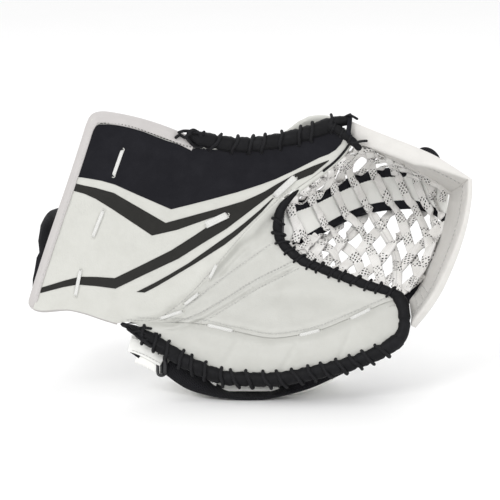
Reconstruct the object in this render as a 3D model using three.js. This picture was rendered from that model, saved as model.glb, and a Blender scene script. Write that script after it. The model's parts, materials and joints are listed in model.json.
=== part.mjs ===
// Ice hockey goalie catch glove, worn on the left hand, standing on its little-finger edge
// with the palm facing -Y.
// Millimetres, +Z up. The glove is drawn in its own design frame and then leaned back as one piece:
// x runs from the cuff to the pocket, z up the palm, and y away from the palm side.
import * as THREE from "three";

// ---- driving dimensions -------------------------------------------------------------------------
const LEAN_DEG = 12; // how far the glove leans back where it stands
const FLOOR_Z = -5; // height of the standing surface below the design frame's origin, after the lean
const FACE_THICK = 3; // outer leather with its backing felt
const BOARD_THICK = 12; // foam and plastic board of the cuff
const LINER_THICK = 2;
const LAYER_GAP = 1.2; // clearance between layers that lie on each other
const GRAPHIC_THICK = 1;
const PAD_THICK = 13; // padded finger panel
const ROLL_R = { thumb: 6.8, finger: 7.2, tip: 6, pocket: 4.4 };
const CORD_R = 1.1; // half the thickness of the lacing cord
const CORD_CLEAR = 1.2; // from a roll's surface to the cord around it
const LACE_PITCH = 19; // from one turn of the lacing to the next
const TAPE = { width: 7, thick: 1.3 }; // flat pocket lace
const SPINE_THICK = 4;
const GUSSET_THICK = 2;
const BAND = { thickSide: 11, thickTopFront: 19, thickTopBack: 9 };
const THUMB_SPACE = 26; // room for the thumb between its face and its guard
const WRIST = { x: [-213, -160], depth: 50, z: 150, inner: 34, outer: 43 }; // wrap round the wrist

const glove = new THREE.Group();
const leaning = new THREE.Group();
leaning.rotation.x = -THREE.MathUtils.degToRad(LEAN_DEG);
glove.add(leaning);

// ---- materials ----------------------------------------------------------------------------------
const finish = (color, roughness) => new THREE.MeshStandardMaterial({ color, roughness, metalness: 0 });
const MATERIAL = {
  whiteLeather: finish(0xd7d6d1, 0.5),
  blackLeather: finish(0x28272c, 0.5),
  blackNylon: finish(0x1e1d21, 0.85),
  blackCord: finish(0x232226, 0.7),
  whiteLace: finish(0xe2dfdc, 0.8),
  greyFelt: finish(0x8b8b8b, 0.95),
  foam: finish(0x4a4a4d, 0.9),
  blackPlastic: finish(0x1a1a1c, 0.35),
};

function add(name, geometry, material) {
  const mesh = new THREE.Mesh(geometry, material);
  mesh.name = name;
  leaning.add(mesh);
}

// ---- the palm side as a depth field -------------------------------------------------------------
const bump = (x, z, cx, cz, sx, sz) => Math.exp(-(((x - cx) / sx) ** 2) - ((z - cz) / sz) ** 2);

// How far the palm-side surface lies behind the design plane: the cuff flares forward, the palm is dished,
// the thumb and finger edges come forward again and the finger pad swells.
function faceDepth(x, z) {
  const cuffStart = -60;
  const flare = (cuffStart - x + Math.hypot(cuffStart - x, 30)) / 2;
  const wings = 6 - 0.001 * (z - 150) ** 2;
  const dish = 12 * bump(x, z, 15, 165, 95, 70);
  const fingerSwell = 8 * bump(x, z, 60, 60, 90, 35);
  return 14 - 0.24 * flare - 0.08 * Math.max(0, x) + wings + dish - fingerSwell;
}

// ---- curves and surfaces ------------------------------------------------------------------------
const curve3 = (points) =>
  new THREE.CatmullRomCurve3(points.map((p) => new THREE.Vector3(...p)), false, "centripetal");
const curve2 = (points) => curve3(points.map(([x, z]) => [x, 0, z]));
const onFace = (points, behind = 0) => curve3(points.map(([x, z]) => [x, faceDepth(x, z) + behind, z]));

// Points of a flat outline moved sideways by distance; positive is to the left of its direction
// in the x-z plane.
function sideways(points, distance) {
  return points.map(([x, z], i) => {
    const [ax, az] = points[Math.max(0, i - 1)];
    const [bx, bz] = points[Math.min(points.length - 1, i + 1)];
    const length = Math.hypot(bx - ax, bz - az);
    return [x - (distance * (bz - az)) / length, z + (distance * (bx - ax)) / length];
  });
}

// A closed body from two grids of points with the same layout, its faces turned outwards.
function bodyBetween(front, back) {
  const rows = front.length;
  const columns = front[0].length;
  const positions = [...front.flat(), ...back.flat()].flatMap((p) => [p.x, p.y, p.z]);
  const at = (side, i, j) => side * rows * columns + i * columns + j;
  const index = [];
  const quad = (a, b, c, d) => index.push(a, b, c, a, c, d);
  for (let i = 0; i < rows - 1; i++) {
    for (let j = 0; j < columns - 1; j++) {
      quad(at(0, i, j), at(0, i + 1, j), at(0, i + 1, j + 1), at(0, i, j + 1));
      quad(at(1, i, j), at(1, i, j + 1), at(1, i + 1, j + 1), at(1, i + 1, j));
    }
  }
  for (let i = 0; i < rows - 1; i++) {
    quad(at(0, i, 0), at(1, i, 0), at(1, i + 1, 0), at(0, i + 1, 0));
    const end = columns - 1;
    quad(at(0, i, end), at(0, i + 1, end), at(1, i + 1, end), at(1, i, end));
  }
  for (let j = 0; j < columns - 1; j++) {
    quad(at(0, 0, j), at(0, 0, j + 1), at(1, 0, j + 1), at(1, 0, j));
    quad(at(0, rows - 1, j), at(1, rows - 1, j), at(1, rows - 1, j + 1), at(0, rows - 1, j + 1));
  }
  return facingOut(positions, index);
}

function facingOut(positions, index) {
  const corner = (i) => new THREE.Vector3().fromArray(positions, 3 * i);
  let volume = 0;
  for (let i = 0; i < index.length; i += 3) {
    volume += corner(index[i]).dot(corner(index[i + 1]).cross(corner(index[i + 2])));
  }
  if (volume < 0) index.reverse();
  const geometry = new THREE.BufferGeometry();
  geometry.setAttribute("position", new THREE.Float32BufferAttribute(positions, 3));
  geometry.setIndex(index);
  return geometry;
}

// The grid ruled between two curves, steps[0] along them and steps[1] across.
function ruled(lower, upper, steps) {
  const grid = [];
  for (let i = 0; i <= steps[0]; i++) {
    const a = lower.getPointAt(i / steps[0]);
    const b = upper.getPointAt(i / steps[0]);
    grid.push(Array.from({ length: steps[1] + 1 }, (_, j) => a.clone().lerp(b, j / steps[1])));
  }
  return grid;
}

// A layer of the palm side between two flat outlines, from `behind` the face to `behind` + `thick`.
function faceLayer(lower, upper, steps, behind, thick) {
  const grid = ruled(curve2(lower), curve2(upper), steps);
  const lifted = (p, by) => new THREE.Vector3(p.x, faceDepth(p.x, p.z) + by, p.z);
  const lift = (by) => grid.map((row) => row.map((p) => lifted(p, by)));
  return bodyBetween(lift(behind), lift(behind + thick));
}

// A layer ruled between two curves in space, thickened along its own normals by thick(i, j).
// A positive thickness goes towards the palm side where the curves run along +x with the upper one higher.
function thickened(lower, upper, steps, thick) {
  const grid = ruled(lower, upper, steps);
  const last = [grid.length - 1, grid[0].length - 1];
  const other = grid.map((row, i) =>
    row.map((p, j) => {
      const along = grid[Math.min(i + 1, last[0])][j].clone().sub(grid[Math.max(i - 1, 0)][j]);
      const across = row[Math.min(j + 1, last[1])].clone().sub(row[Math.max(j - 1, 0)]);
      const normal = along.cross(across).normalize();
      return p.clone().addScaledVector(normal, thick(i / last[0], j / last[1]));
    }),
  );
  return bodyBetween(grid, other);
}

const round = (r, sides) => Array.from({ length: sides }, (_, k) => {
  const a = (2 * Math.PI * (k + 0.5)) / sides;
  return [r * Math.cos(a), r * Math.sin(a)];
});
const flat = (width, thick) => {
  const [x, y] = [width / 2, thick / 2];
  return [[-x, -y], [x, -y], [x, y], [-x, y]];
};

// A section swept along points. facing(i) is the direction that the section's second axis leans to;
// size(t) scales the section along the way.
function swept(points, section, facing, size = () => 1) {
  const rings = points.map((p, i) => {
    const last = points.length - 1;
    const ahead = points[Math.min(i + 1, last)].clone().sub(points[Math.max(i - 1, 0)]).normalize();
    const across = ahead.clone().cross(facing(i)).normalize();
    const up = across.clone().cross(ahead);
    const scale = size(i / last);
    const corner = ([a, b]) => p.clone().addScaledVector(across, a * scale).addScaledVector(up, b * scale);
    return section.map(corner);
  });
  const sides = section.length;
  const positions = [...rings.flat(), points[0], points[points.length - 1]].flatMap((p) => [p.x, p.y, p.z]);
  const index = [];
  for (let i = 0; i < rings.length - 1; i++) {
    for (let k = 0; k < sides; k++) {
      const next = (k + 1) % sides;
      const [a, b, c, d] = [i * sides + k, i * sides + next, (i + 1) * sides + next, (i + 1) * sides + k];
      index.push(a, b, c, a, c, d);
    }
  }
  const first = rings.length * sides;
  const lastRing = (rings.length - 1) * sides;
  for (let k = 0; k < sides; k++) {
    const next = (k + 1) % sides;
    index.push(first, next, k, first + 1, lastRing + k, lastRing + next);
  }
  return facingOut(positions, index);
}

const AWAY = new THREE.Vector3(0, 1, 0); // away from the palm side
const along = (curve, steps) => Array.from({ length: steps + 1 }, (_, i) => curve.getPointAt(i / steps));
const roll = (curve, radius, steps, size) => swept(along(curve, steps), round(radius, 8), () => AWAY, size);

// The cord that laces a roll to its panel: a helix around the roll.
function lacing(curve, rollRadius, start = 0.02, end = 0.98) {
  const radius = rollRadius + CORD_CLEAR + CORD_R;
  const turns = Math.round((curve.getLength() * (end - start)) / LACE_PITCH);
  const steps = turns * 8;
  const centres = [];
  const points = [];
  for (let i = 0; i <= steps; i++) {
    const t = start + ((end - start) * i) / steps;
    const centre = curve.getPointAt(t);
    const ahead = curve.getTangentAt(t);
    const across = ahead.clone().cross(AWAY).normalize();
    const up = across.clone().cross(ahead);
    const a = (2 * Math.PI * i) / 8;
    centres.push(centre);
    const out = across.multiplyScalar(radius * Math.cos(a)).addScaledVector(up, radius * Math.sin(a));
    points.push(centre.clone().add(out));
  }
  return swept(points, flat(2 * CORD_R, 2 * CORD_R), (i) => points[i].clone().sub(centres[i]));
}

// ---- outlines on the palm side, as x, z ---------------------------------------------------------
const THUMB_ROLL = [
  [-58, 263], [-47, 261], [-26, 257], [-1, 256], [25, 259], [51, 265], [72, 272], [95, 279],
];
const FINGER_ROLL = [
  [-117, 73], [-107, 65], [-83, 50], [-64, 38], [-45, 29], [-26, 22.5],
  [-6, 21], [28, 21], [65, 28], [101, 37], [131, 49], [146, 58],
];
const TIP_ROLL = [[153, 71], [154, 84], [152, 95], [148, 101]];
const POCKET_ROLL = [
  [140, 109], [119.5, 115], [103, 120], [86, 126], [70, 132], [53, 139],
  [41, 148], [32, 158], [28, 170], [29, 184], [32, 194], [39, 202],
];
const THUMB_POCKET_EDGE = [[50, 212], [60, 219], [78, 232], [92, 246], [99, 255]];
const CUFF_OUTER = [
  [-62, 262], [-90, 275], [-114, 282], [-150, 287], [-158, 280], [-190, 189],
  [-218, 106], [-219, 94], [-210, 89], [-181, 90], [-150, 82],
];
const FOLD_LINE = [[-122, 80], [-85, 106], [-40, 138], [0, 169], [22, 190]];
const BREAK_SEAM = [
  [-112, 79], [-51, 76], [-17, 69], [21, 62], [48, 65], [70, 70], [100, 82], [134, 97],
];

// ---- cuff and thumb -----------------------------------------------------------------------------
const FACE_TOP = [
  [-144, 277], [-114, 271], [-90, 264], [-68, 254], [-47, 249], [-26, 245],
  [0, 244], [25, 247], [51, 253], [72, 260], [88, 266],
];
const FACE_BOTTOM = [
  [-206, 100], [-181, 100], [-146, 90], [-124, 86], [-88, 112], [-43, 144],
  [-3, 175], [20, 197], [41, 214], [57, 226], [74, 240], [85, 251],
];
add("cuff_and_thumb_face", faceLayer(FACE_BOTTOM, FACE_TOP, [24, 8], 0, FACE_THICK), MATERIAL.whiteLeather);

const BOARD_TOP = [[-144, 277], [-114, 271], [-90, 264], [-72, 256]];
const BOARD_BOTTOM = [[-206, 100], [-181, 100], [-146, 92], [-124, 89]];
const boardFront = FACE_THICK + LAYER_GAP;
const liningFront = boardFront + BOARD_THICK + LAYER_GAP;
const cuffLayer = (behind, thick) => faceLayer(BOARD_BOTTOM, BOARD_TOP, [6, 6], behind, thick);
add("cuff_board", cuffLayer(boardFront, BOARD_THICK), MATERIAL.foam);
add("cuff_lining", cuffLayer(liningFront, LINER_THICK), MATERIAL.blackNylon);

// The wrap around the cuff's rim: a bevelled strip that covers the edge of the board.
const RIM_SECTION = [[4, -4.5], [-3.2, -1], [-4.2, 6], [-4.2, 15], [3, 15]];
const rimPath = along(onFace(sideways(CUFF_OUTER, 4), 3), 34);
add("cuff_rim_wrap", swept(rimPath, RIM_SECTION, () => AWAY), MATERIAL.whiteLeather);

// Black graphic panel and stripes, laid on the face.
const graphicFront = -(GRAPHIC_THICK + 0.9);
function graphic(name, lower, upper, steps) {
  add(name, faceLayer(lower, upper, steps, graphicFront, GRAPHIC_THICK), MATERIAL.blackLeather);
}
const PANEL_TOP = [
  [-149, 271], [-143, 274], [-114, 269], [-90, 262], [-68, 252], [-47, 247],
  [-26, 243], [0, 242], [25, 245], [51, 251], [72, 258], [84, 263],
];
const PANEL_BOTTOM = [
  [-168, 222], [-146, 220], [-135, 216.6], [-79, 191], [-41, 200.6], [-13, 209],
  [16, 218], [45, 231], [64, 241], [82, 252],
];
graphic("graphic_panel", PANEL_BOTTOM, PANEL_TOP, [24, 6]);
graphic(
  "stripe_upper",
  [[-172, 209], [-146, 197.4], [-98.5, 165], [-70, 172], [-40, 181], [-22, 187], [5, 201], [34, 217]],
  [[-171, 216], [-146, 210], [-84, 177.5], [-70, 180.5], [-41, 189], [-13, 197.7], [16, 209], [32, 219]],
  [20, 1],
);
graphic(
  "stripe_middle",
  [[-201, 107.7], [-173, 115.5], [-135, 111.2], [-100, 128.2], [-49, 160], [-13, 184]],
  [[-200, 113], [-173, 123.4], [-135, 122], [-100, 139.4], [-36, 176], [-22, 184.4]],
  [16, 1],
);
graphic(
  "stripe_lower",
  [[-104, 107.5], [-84, 117], [-23, 157.5], [-4, 176], [12, 192]],
  [[-113, 108.5], [-84, 122], [-27, 160], [-8, 178], [10, 194]],
  [12, 1],
);

const thumbRoll = onFace(THUMB_ROLL, 2);
add("thumb_edge_roll", roll(thumbRoll, ROLL_R.thumb, 12), MATERIAL.blackLeather);
add("thumb_edge_lacing", lacing(thumbRoll, ROLL_R.thumb), MATERIAL.blackCord);
add("thumb_pocket_binding", roll(onFace(THUMB_POCKET_EDGE, 2), 2.2, 8), MATERIAL.blackLeather);

// The guard over the back of the thumb comes forward to the edge roll at its top and leaves room
// for the thumb.
const guardBehind = (points, extra) => onFace(points, FACE_THICK + extra);
const guardLow = guardBehind([[-44, 204], [-4, 212], [36, 226], [80, 252]], THUMB_SPACE);
const guardHigh = guardBehind([[-44, 262], [-2, 266], [36, 276], [82, 285]], 0.5 * THUMB_SPACE);
add("thumb_guard", thickened(guardLow, guardHigh, [10, 5], () => -12), MATERIAL.whiteLeather);

// ---- wrist --------------------------------------------------------------------------------------
// An arc of the wrap around the wearer's wrist, seen along x; angles from straight up, turning away
// from the palm.
function wristArc(from, to, inner, outer, [x0, x1], steps) {
  const rim = (radius, x) => Array.from({ length: steps + 1 }, (_, i) => {
    const a = THREE.MathUtils.degToRad(from + ((to - from) * i) / steps);
    return new THREE.Vector3(x, WRIST.depth + radius * Math.sin(a), WRIST.z + radius * Math.cos(a));
  });
  const wall = (radius) => [rim(radius, x0), rim(radius, x1)];
  return bodyBetween(wall(inner), wall(outer));
}
const wrapArc = (from, to, x, steps) => wristArc(from, to, WRIST.inner, WRIST.outer, x, steps);
add("wrist_wrap", wrapArc(-46, 100, WRIST.x, 10), MATERIAL.blackNylon);
add("wrist_wrap_lower", wrapArc(160, 226, [-220, -160], 6), MATERIAL.blackNylon);
const flapInner = WRIST.outer + 1.5;
const flapArc = wristArc(40, 196, flapInner, flapInner + 3, [-206, -168], 12);
add("wrist_strap_flap", flapArc, MATERIAL.blackNylon);

// ---- pocket: the band, its spine and its laces --------------------------------------------------
// Outer surface of the band, front edge and back edge, from the thumb tip to the corner and on to
// the finger tips.
const topFront = curve3([
  [104, -4, 277], [134, -9, 264], [157, -13, 255], [170, -15, 250], [198, -19, 236], [217, -21, 223],
]);
const topBack = curve3([
  [104, 52, 268], [134, 56, 256], [157, 58, 245], [172, 60, 237], [196, 62, 223], [208, 62, 214],
]);
function topThick(i, j) {
  const front = BAND.thickTopFront * (1 - 0.55 * i ** 4);
  return THREE.MathUtils.lerp(front, BAND.thickTopBack, Math.min(1, 1.6 * (1 - j)));
}
add("band_thumb_side", thickened(topBack, topFront, [12, 5], topThick), MATERIAL.whiteLeather);
const sideFront = curve3([
  [219.5, -21, 214], [220, -21, 202], [215.5, -19, 175], [208.5, -16, 151],
  [200, -11, 128], [190, -5, 106], [178.5, 0, 87], [166, 6, 71],
]);
const sideBack = curve3([
  [208, 62, 206], [206, 70, 190], [201, 74, 172], [194, 70, 155],
  [186, 62, 138], [180, 52, 122], [172, 42, 108], [166, 34, 98],
]);
const sideThick = (i) => BAND.thickSide * (1 - 0.55 * i ** 3);
add("band_finger_side", thickened(sideBack, sideFront, [14, 5], sideThick), MATERIAL.whiteLeather);
const PULL_TAB = [[166, 66, 245], [172, 64, 250], [178, 62, 252]];
add("band_pull_tab", swept(along(curve3(PULL_TAB), 3), flat(14, 2), () => AWAY), MATERIAL.blackNylon);

const spineLow = curve3([
  [60, 62, 162], [86, 84, 177], [109, 97, 187], [131, 103, 193],
  [152, 104, 195.5], [169, 100, 196], [181, 93, 193], [189, 85, 189],
]);
const spineHigh = curve3([
  [60, 62, 200], [76, 74, 209], [98, 90, 219], [121, 100, 227],
  [141, 103, 231], [161, 100, 231], [176, 92, 227], [188, 84, 219],
]);
add("pocket_spine", thickened(spineLow, spineHigh, [12, 2], () => SPINE_THICK), MATERIAL.whiteLeather);
const beside = (curve, rise) => along(curve, 12).map((p) => p.add(new THREE.Vector3(0, 1.5, rise)));
add("spine_binding_upper", swept(beside(spineHigh, 4.2), flat(6, 4), () => AWAY), MATERIAL.blackLeather);
add("spine_binding_lower", swept(beside(spineLow, -4.2), flat(6, 4), () => AWAY), MATERIAL.blackLeather);

// The net: panels ruled from the finger edge of the pocket to the spine, over it, and on to the thumb edge.
const netLow = curve3([
  [44, 39, 153], [56, 34, 144], [72, 30, 138], [88, 28, 132],
  [105, 26, 126], [121, 24, 121], [143, 24, 115], [156, 31, 114],
]);
const netHigh = curve3([
  [52, 36, 208], [66, 34, 219], [84, 34, 232], [104, 36, 238],
  [128, 42, 238], [150, 45, 232], [172, 48, 221], [188, 52, 211],
]);
const NET = [[netLow, spineLow], [spineLow, spineHigh], [spineHigh, netHigh]];
function netPoint(panel, t, w, towardsPalm) {
  const at = (s, v) => NET[panel][0].getPointAt(s).lerp(NET[panel][1].getPointAt(s), v);
  const step = t > 0.5 ? -0.02 : 0.02;
  const alongX = at(t + step, w).sub(at(t, w)).multiplyScalar(Math.sign(step));
  const normal = alongX.cross(at(t, 1).sub(at(t, 0))).normalize();
  return { point: at(t, w).addScaledVector(normal, towardsPalm), normal };
}
// A flat lace through stations [panel, t, w, height above the net], lying flat against the net.
function lace(stations, steps) {
  const stops = stations.map((s) => netPoint(...s));
  const path = new THREE.CatmullRomCurve3(stops.map((s) => s.point), false, "centripetal");
  const points = Array.from({ length: steps + 1 }, (_, i) => path.getPoint(i / steps));
  const facing = (i) => {
    const place = (i / steps) * (stops.length - 1);
    const k = Math.min(Math.floor(place), stops.length - 2);
    return stops[k].normal.clone().lerp(stops[k + 1].normal, place - k);
  };
  return swept(points, flat(TAPE.width, TAPE.thick), facing);
}
const OVER = SPINE_THICK + 4.2;
const LONG_LACES = 6;
for (let k = 0; k < LONG_LACES; k++) {
  const t = 0.15 + (0.73 * k) / (LONG_LACES - 1);
  const stations = [
    [0, t + 0.03, 0.03, 0], [0, t + 0.02, 0.4, 2], [0, t + 0.01, 0.82, OVER], [1, t, 0.2, OVER],
    [1, t - 0.01, 0.8, OVER], [2, t - 0.02, 0.3, OVER], [2, t - 0.03, 0.65, 2], [2, t - 0.04, 0.96, 0],
  ];
  add(`pocket_lace_${k + 1}`, lace(stations, 14), MATERIAL.whiteLace);
}
const UNDER = -5;
[0.04, 0.28, 0.52].forEach((t, k) => {
  const stations = [[0, t, 0.05, UNDER], [0, t + 0.12, 0.45, UNDER], [0, t + 0.24, 0.79, UNDER]];
  add(`cross_lace_low_${k + 1}`, lace(stations, 4), MATERIAL.whiteLace);
});
[0.1, 0.38, 0.66].forEach((t, k) => {
  const stations = [[2, t, 0.3, UNDER], [2, t + 0.08, 0.52, UNDER], [2, t + 0.15, 0.66, UNDER]];
  add(`cross_lace_high_${k + 1}`, lace(stations, 4), MATERIAL.whiteLace);
});

// ---- palm and fingers ---------------------------------------------------------------------------
const pocketClear = ROLL_R.pocket + CORD_CLEAR + 2 * CORD_R + 1;
const besidePocketRoll = sideways(POCKET_ROLL, pocketClear).reverse().slice(2);
const PALM_TOP = [...sideways(FOLD_LINE, -3).slice(0, -1), [15, 182], ...besidePocketRoll];
const PALM_BOTTOM = sideways(BREAK_SEAM, 1.5);
const palmLayer = (behind, thick) => faceLayer(PALM_BOTTOM, PALM_TOP, [22, 6], behind, thick);
add("palm_face", palmLayer(0, FACE_THICK), MATERIAL.whiteLeather);
add("palm_lining", palmLayer(FACE_THICK + LAYER_GAP, LINER_THICK), MATERIAL.greyFelt);
const rollClear = ROLL_R.finger + CORD_CLEAR + 2 * CORD_R + 0.8;
const PANEL_LOW = sideways(FINGER_ROLL, rollClear).map(([x, z]) => [Math.min(x, 140), z]);
const PANEL_HIGH = sideways(BREAK_SEAM, -1.5);
add("finger_panel", faceLayer(PANEL_LOW, PANEL_HIGH, [18, 4], -2, PAD_THICK), MATERIAL.whiteLeather);

const pocketRoll = onFace(POCKET_ROLL, 1);
const pocketTaper = (t) => 1 - 0.4 * t ** 3;
add("pocket_edge_roll", roll(pocketRoll, ROLL_R.pocket, 20, pocketTaper), MATERIAL.blackLeather);
add("pocket_edge_lacing", lacing(pocketRoll, ROLL_R.pocket, 0.04, 0.86), MATERIAL.blackCord);
const fingerRoll = onFace(FINGER_ROLL, 2);
add("finger_edge_roll", roll(fingerRoll, ROLL_R.finger, 22), MATERIAL.blackLeather);
add("finger_edge_lacing", lacing(fingerRoll, ROLL_R.finger), MATERIAL.blackCord);
add("finger_tip_roll", roll(onFace(TIP_ROLL, 2), ROLL_R.tip, 5), MATERIAL.blackLeather);

// Back: the backhand pad over the back of the hand and three rolls over the fingers.
const backDepth = (x) => 50 + 16 * Math.exp(-(((x + 20) / 70) ** 2));
const backCurve = (points) => curve3(points.map(([x, z]) => [x, backDepth(x), z]));
const swell = (most) => (i, j) => -(7 + most * Math.sin(Math.PI * i) * Math.sin(Math.PI * j));
const backhandLow = backCurve([[-78, 58], [-50, 44], [-20, 34], [17, 32]]);
const backhandHigh = backCurve([[-70, 132], [-40, 150], [-12, 152], [17, 132]]);
add("backhand_pad", thickened(backhandLow, backhandHigh, [8, 6], swell(10)), MATERIAL.whiteLeather);
const BACK_ROLLS = [
  { x: [22, 52], low: [32, 36], high: [130, 122] },
  { x: [56, 86], low: [36, 40], high: [121, 113] },
  { x: [90, 122], low: [41, 50], high: [112, 102] },
];
BACK_ROLLS.forEach(({ x, low, high }, k) => {
  const edge = (z) => backCurve([[x[0], z[0]], [(x[0] + x[1]) / 2, (z[0] + z[1]) / 2], [x[1], z[1]]]);
  add(`finger_back_roll_${k + 1}`, thickened(edge(low), edge(high), [4, 4], swell(9)), MATERIAL.blackNylon);
});

// Inside: dividers between the fingers, fanned from the palm to the finger tips.
const DIVIDERS = [[[26, 98], [112, 90]], [[24, 78], [120, 76]], [[20, 58], [112, 62]]];
DIVIDERS.forEach((ends, k) => {
  const line = curve2(ends);
  const wall = (rise) => along(line, 4).map((p) => {
    const front = faceDepth(p.x, p.z) + FACE_THICK + 2 * LAYER_GAP + LINER_THICK + PAD_THICK / 2;
    return [front, backDepth(p.x) - 1.5].map((depth) => new THREE.Vector3(p.x, depth, p.z + rise));
  });
  add(`finger_divider_${k + 1}`, bodyBetween(wall(-1), wall(1)), MATERIAL.greyFelt);
});

// Little-finger side: the padded edge that the glove stands on, flat where it meets the surface.
const leanRad = THREE.MathUtils.degToRad(LEAN_DEG);
const standingZ = (depth) => (FLOOR_Z + depth * Math.sin(leanRad)) / Math.cos(leanRad);
const edgeRise = (x) => 0.0085 * Math.max(0, x - 45) ** 1.8 + 0.011 * Math.max(0, -x - 45) ** 1.9;
const edgeGrid = (up) => Array.from({ length: 15 }, (_, i) => {
  const x = -78 + (170 * i) / 14;
  return Array.from({ length: 5 }, (_, j) => {
    const depth = 26 + (70 * j) / 4;
    return new THREE.Vector3(x, depth, standingZ(depth) + edgeRise(x) + up);
  });
});
add("little_finger_edge_pad", bodyBetween(edgeGrid(0), edgeGrid(12)), MATERIAL.whiteLeather);

// Gussets close the little-finger side, the finger tips and the underside of the thumb stall.
function gusset(name, lower, upper, steps) {
  add(name, thickened(curve3(lower), curve3(upper), steps, () => GUSSET_THICK), MATERIAL.blackNylon);
}
gusset(
  "little_finger_gusset",
  [[-62, 56, 24], [-45, 56, 21], [-20, 56, 20.5], [20, 56, 20.5], [55, 56, 21.5], [86, 54, 28]],
  [[-66, 59, 49], [-45, 62, 39.5], [-20, 64, 31.5], [17, 60, 29.5], [55, 53.5, 33.5], [86, 49.5, 38]],
  [10, 2],
);
gusset(
  "finger_tip_gusset",
  [[125, 49, 52], [138, 33, 58], [147, 17, 67]],
  [[125, 49, 101], [138, 34, 101], [147, 19, 97]],
  [6, 4],
);
const stallEdge = [[-44, 202], [-4, 209.5], [36, 223.5], [78, 247.5]];
const stallGrid = (extra) => along(onFace(stallEdge, FACE_THICK + extra), 10);
const stallWall = (rise) => [stallGrid(3), stallGrid(THUMB_SPACE - 2)].map((line) =>
  line.map((p) => p.clone().add(new THREE.Vector3(0, 0, rise))),
);
add("thumb_stall_gusset", bodyBetween(stallWall(-GUSSET_THICK), stallWall(0)), MATERIAL.blackNylon);

// The strap along the little-finger edge, its heel tab and the slide buckle between them.
const UP = new THREE.Vector3(0, 0, 1);
const strapPath = curve3([
  [-76, 21, 28], [-68, 21.5, 22], [-58, 22, 17], [-40, 22, 12.5], [-20, 22, 10.6],
  [0, 22, 10.2], [22, 22, 10.8], [50, 22, 15], [80, 22, 25], [94, 22, 31],
]);
add("edge_strap", swept(along(strapPath, 16), flat(2.2, 19), () => UP), MATERIAL.blackNylon);
add("slide_buckle", boxAt([-93, 16, 24], [-85, 20, 47]), MATERIAL.blackPlastic);
const tabFront = curve3([[-120, 17, 52], [-109, 17, 47], [-100, 17, 42.5]]);
add("heel_tab", swept(along(tabFront, 3), flat(3, 22), () => UP), MATERIAL.whiteLeather);

function boxAt(low, high) {
  const size = high.map((v, i) => v - low[i]);
  const geometry = new THREE.BoxGeometry(...size);
  return geometry.translate(...low.map((v, i) => v + size[i] / 2));
}

// The origin is the middle of the bottom of the leaned glove's bounding box.
leaning.updateMatrixWorld(true);
const bounds = new THREE.Box3().setFromObject(glove, true);
const middle = bounds.getCenter(new THREE.Vector3());
glove.position.set(-middle.x, -middle.y, -bounds.min.z);

export default glove;
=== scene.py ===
"""Goalie catch glove: the looks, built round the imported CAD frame.

Shapes are drawn in the glove's own design frame in millimetres: x from the cuff to the pocket, d (depth)
away from the palm side, and z up the palm. place() leans that frame back as the CAD does and gives metres in
the row frame.
"""
import json
import math

import bmesh
import bpy
import numpy as np
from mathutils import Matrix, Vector
from mathutils.bvhtree import BVHTree


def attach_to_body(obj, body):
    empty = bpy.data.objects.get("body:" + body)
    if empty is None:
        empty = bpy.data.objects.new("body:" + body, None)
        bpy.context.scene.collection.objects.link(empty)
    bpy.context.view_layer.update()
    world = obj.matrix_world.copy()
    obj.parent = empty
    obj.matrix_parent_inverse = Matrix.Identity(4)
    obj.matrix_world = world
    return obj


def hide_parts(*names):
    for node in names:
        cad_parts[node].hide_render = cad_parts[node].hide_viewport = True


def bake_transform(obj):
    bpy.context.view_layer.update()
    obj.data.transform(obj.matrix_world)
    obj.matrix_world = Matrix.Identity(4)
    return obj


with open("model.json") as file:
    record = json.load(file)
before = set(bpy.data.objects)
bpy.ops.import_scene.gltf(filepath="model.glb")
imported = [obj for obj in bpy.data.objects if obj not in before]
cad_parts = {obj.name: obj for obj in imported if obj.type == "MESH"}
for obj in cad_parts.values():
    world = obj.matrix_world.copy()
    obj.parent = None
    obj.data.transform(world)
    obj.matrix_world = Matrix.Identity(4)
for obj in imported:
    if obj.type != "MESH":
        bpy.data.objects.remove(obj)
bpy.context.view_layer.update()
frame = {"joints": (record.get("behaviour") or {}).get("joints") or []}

# ---- the design frame ----------------------------------------------------------------------------
MM = 0.001
LEAN = math.radians(12)
HEEL = (-118.0, 4.0, 75.0)  # where the fold of the close joint passes the heel
CORNER = (221.0, -22.0, 218.0)  # and the outer corner of the band
CLOSE = next(joint for joint in frame["joints"] if joint["name"] == "close")
TOWARDS = (0.0, -1.0, 0.0)  # towards the palm side
AWAY = (0.0, 1.0, 0.0)
UP = (0.0, 0.0, 1.0)


def leaned(points):
    x, d, z = np.asarray(points, float).reshape(-1, 3).T
    c, s = math.cos(LEAN), math.sin(LEAN)
    return np.stack([x, d * c + z * s, z * c - d * s], 1) * MM


ORIGIN = np.array(CLOSE["pos_m"]) - leaned(HEEL)[0]


def place(points):
    """Design points in millimetres as row-frame points in metres."""
    return leaned(points) + ORIGIN


# The soft parts fold in one zone on both sides of the close joint's axis, and all pieces are sorted by that
# one zone.
FOLD_ACROSS = np.array([-(CORNER[2] - HEEL[2]), 0, CORNER[0] - HEEL[0]])
FOLD_ACROSS = FOLD_ACROSS / np.linalg.norm(FOLD_ACROSS)
FOLD_FROM, FOLD_TO = -18.0, 58.0
FINGER, THUMB = "finger_side", "thumb_side"


def above_fold(points):
    """How far design points lie above the fold's axis, in millimetres."""
    return (np.asarray(points, float).reshape(-1, 3) - HEEL) @ FOLD_ACROSS


def attach(obj, points):
    """The piece rides on the side of the fold it lies on; one that crosses the fold gets no body and has its
    transform baked.
    """
    heights = above_fold(points)
    if heights.max() < FOLD_FROM:
        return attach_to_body(obj, FINGER)
    if heights.min() > FOLD_TO:
        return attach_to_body(obj, THUMB)
    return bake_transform(obj)


# ---- numbers -------------------------------------------------------------------------------------
rng = np.random.default_rng(7)


def smooth(t):
    t = np.clip(t, 0, 1)
    return t * t * (3 - 2 * t)


def bump(x, z, cx, cz, sx, sz):
    return np.exp(-(((x - cx) / sx) ** 2) - ((z - cz) / sz) ** 2)


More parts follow.
